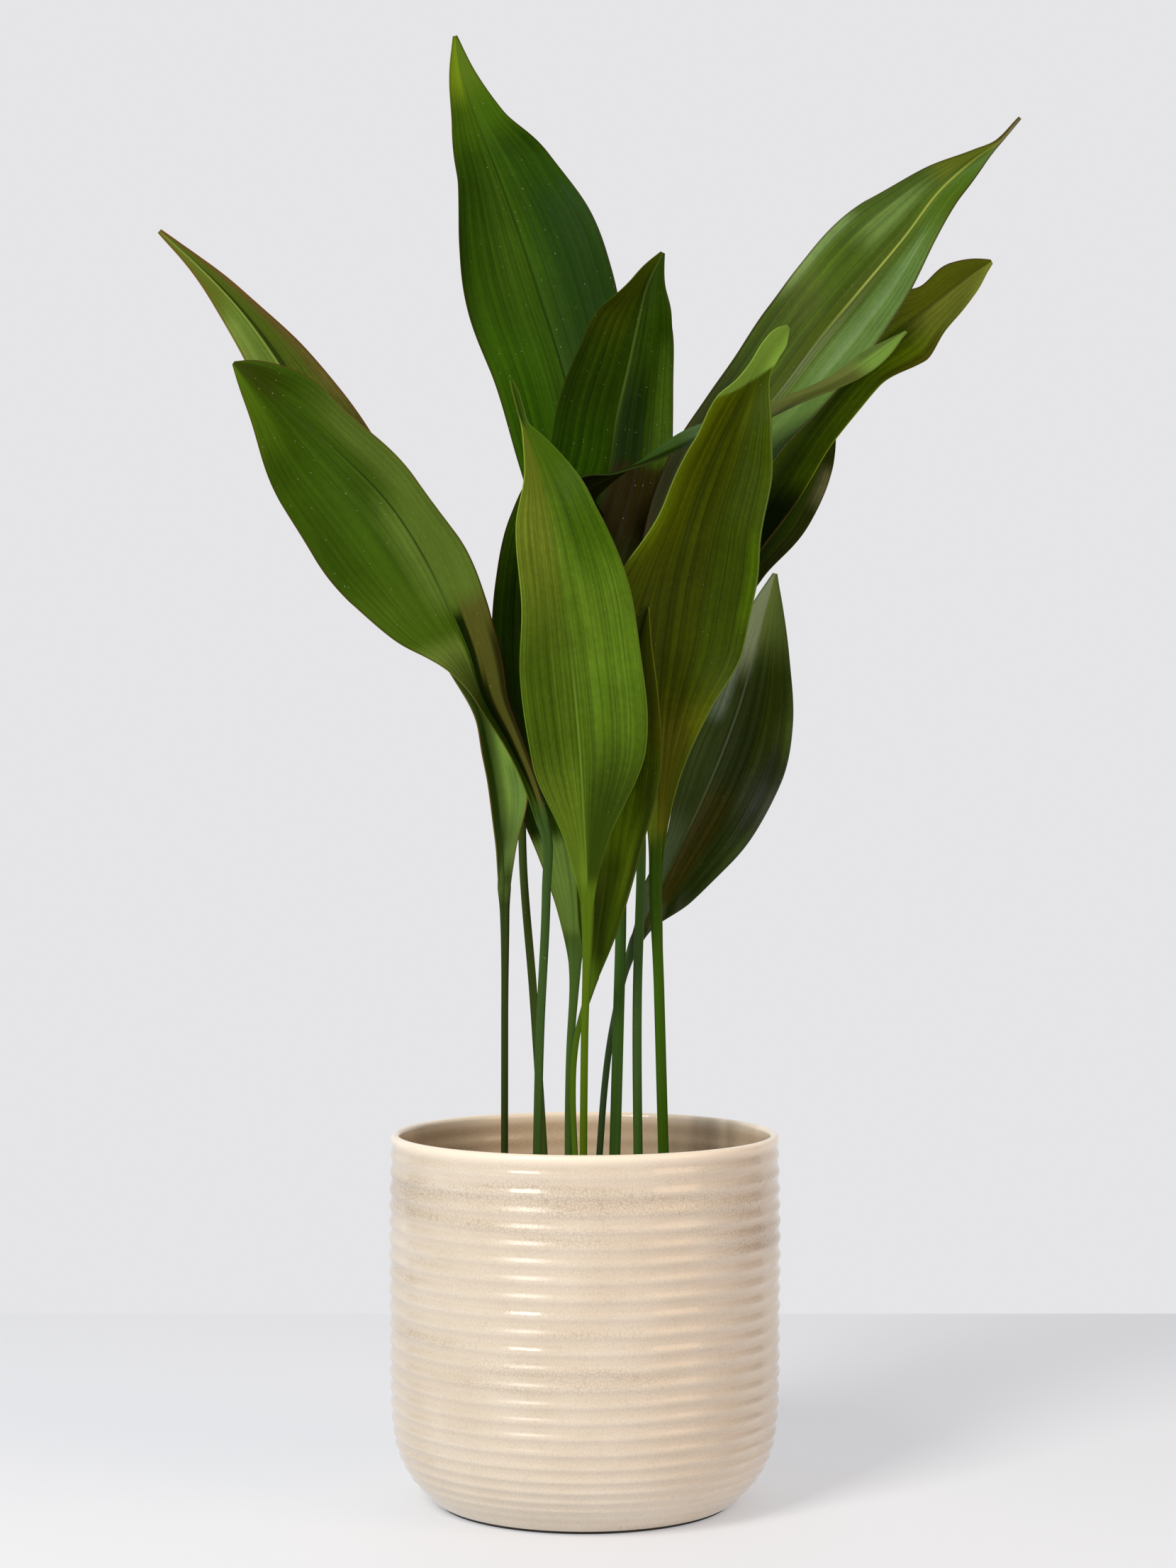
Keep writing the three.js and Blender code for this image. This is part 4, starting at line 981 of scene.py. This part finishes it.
def hang_light(name, place, target, size, power, colour):
    """A softbox: a flat rectangle of light that faces its target."""
    clear_selection()
    bpy.ops.object.light_add(type="AREA", location=place)
    lamp = bpy.context.active_object
    lamp.name = name
    lamp.data.shape = "RECTANGLE"
    lamp.data.size, lamp.data.size_y = size
    lamp.data.energy = power
    lamp.data.color = linear(colour)[:3]
    lamp.rotation_euler = (Vector(target) - Vector(place)).to_track_quat("-Z", "Y").to_euler()


def light_studio():
    """A softbox on the left in front, a weak one on the right, and a bright wall behind the plant."""
    bpy.context.scene.view_settings.view_transform = "Standard"
    hang_light(
        "key_softbox", (-1.25, -1.75, 1.65), target=(0, 0, 0.35), size=(0.8, 1.6), power=54, colour="fffaf2")
    hang_light(
        "fill_softbox", (1.9, -1.3, 1.0), target=(0, 0, 0.4), size=(1.2, 1.4), power=15, colour="ffd6b0")
    world = bpy.data.worlds.new("studio_wall")
    bpy.context.scene.world = world
    world.use_nodes = True
    tree = world.node_tree
    tree.nodes.clear()
    # The camera sees a plain wall. The plant sees a bright wall behind it, and a room that is lighter above.
    seen = add_node(tree, "LightPath").outputs["Is Camera Ray"]
    direction = add_node(tree, "TexCoord").outputs["Generated"]
    parts = add_node(tree, "SeparateXYZ", {0: direction})
    behind = add_node(tree, "MapRange", {
        "Value": parts.outputs["Y"], "From Min": 0.57, "From Max": 0.62, "To Max": 0.75})
    above = add_node(tree, "MapRange", {
        "Value": parts.outputs["Z"], "From Min": 0.2, "From Max": 0.9, "To Min": 0.16, "To Max": 0.55})
    strength = add_node(tree, "Math", {0: behind, 1: above}, operation="ADD")
    wall = add_node(tree, "Background", {"Color": linear("e5e5e7")})
    room = add_node(tree, "Background", {"Color": linear("f2f3f5"), "Strength": strength})
    both = add_node(tree, "MixShader", {"Fac": seen, 1: room, 2: wall})
    add_node(tree, "OutputWorld", {"Surface": both})


def place_camera():
    """Level, at a little under half the plant's height."""
    clear_selection()
    bpy.ops.object.camera_add(location=CAMERA_PLACE, rotation=(math.radians(90), 0, 0))
    camera = bpy.context.active_object
    camera.data.sensor_fit = "VERTICAL"
    camera.data.sensor_height = SENSOR_HEIGHT
    camera.data.lens = CAMERA_LENS
    camera.data.clip_start = 0.01
    bpy.context.scene.camera = camera


place_camera()
throw_pot()
fill_soil()
for leaf_name, leaf_facts in LEAVES.items():
    grow_leaf(leaf_name, leaf_facts)
lay_floor()
light_studio()
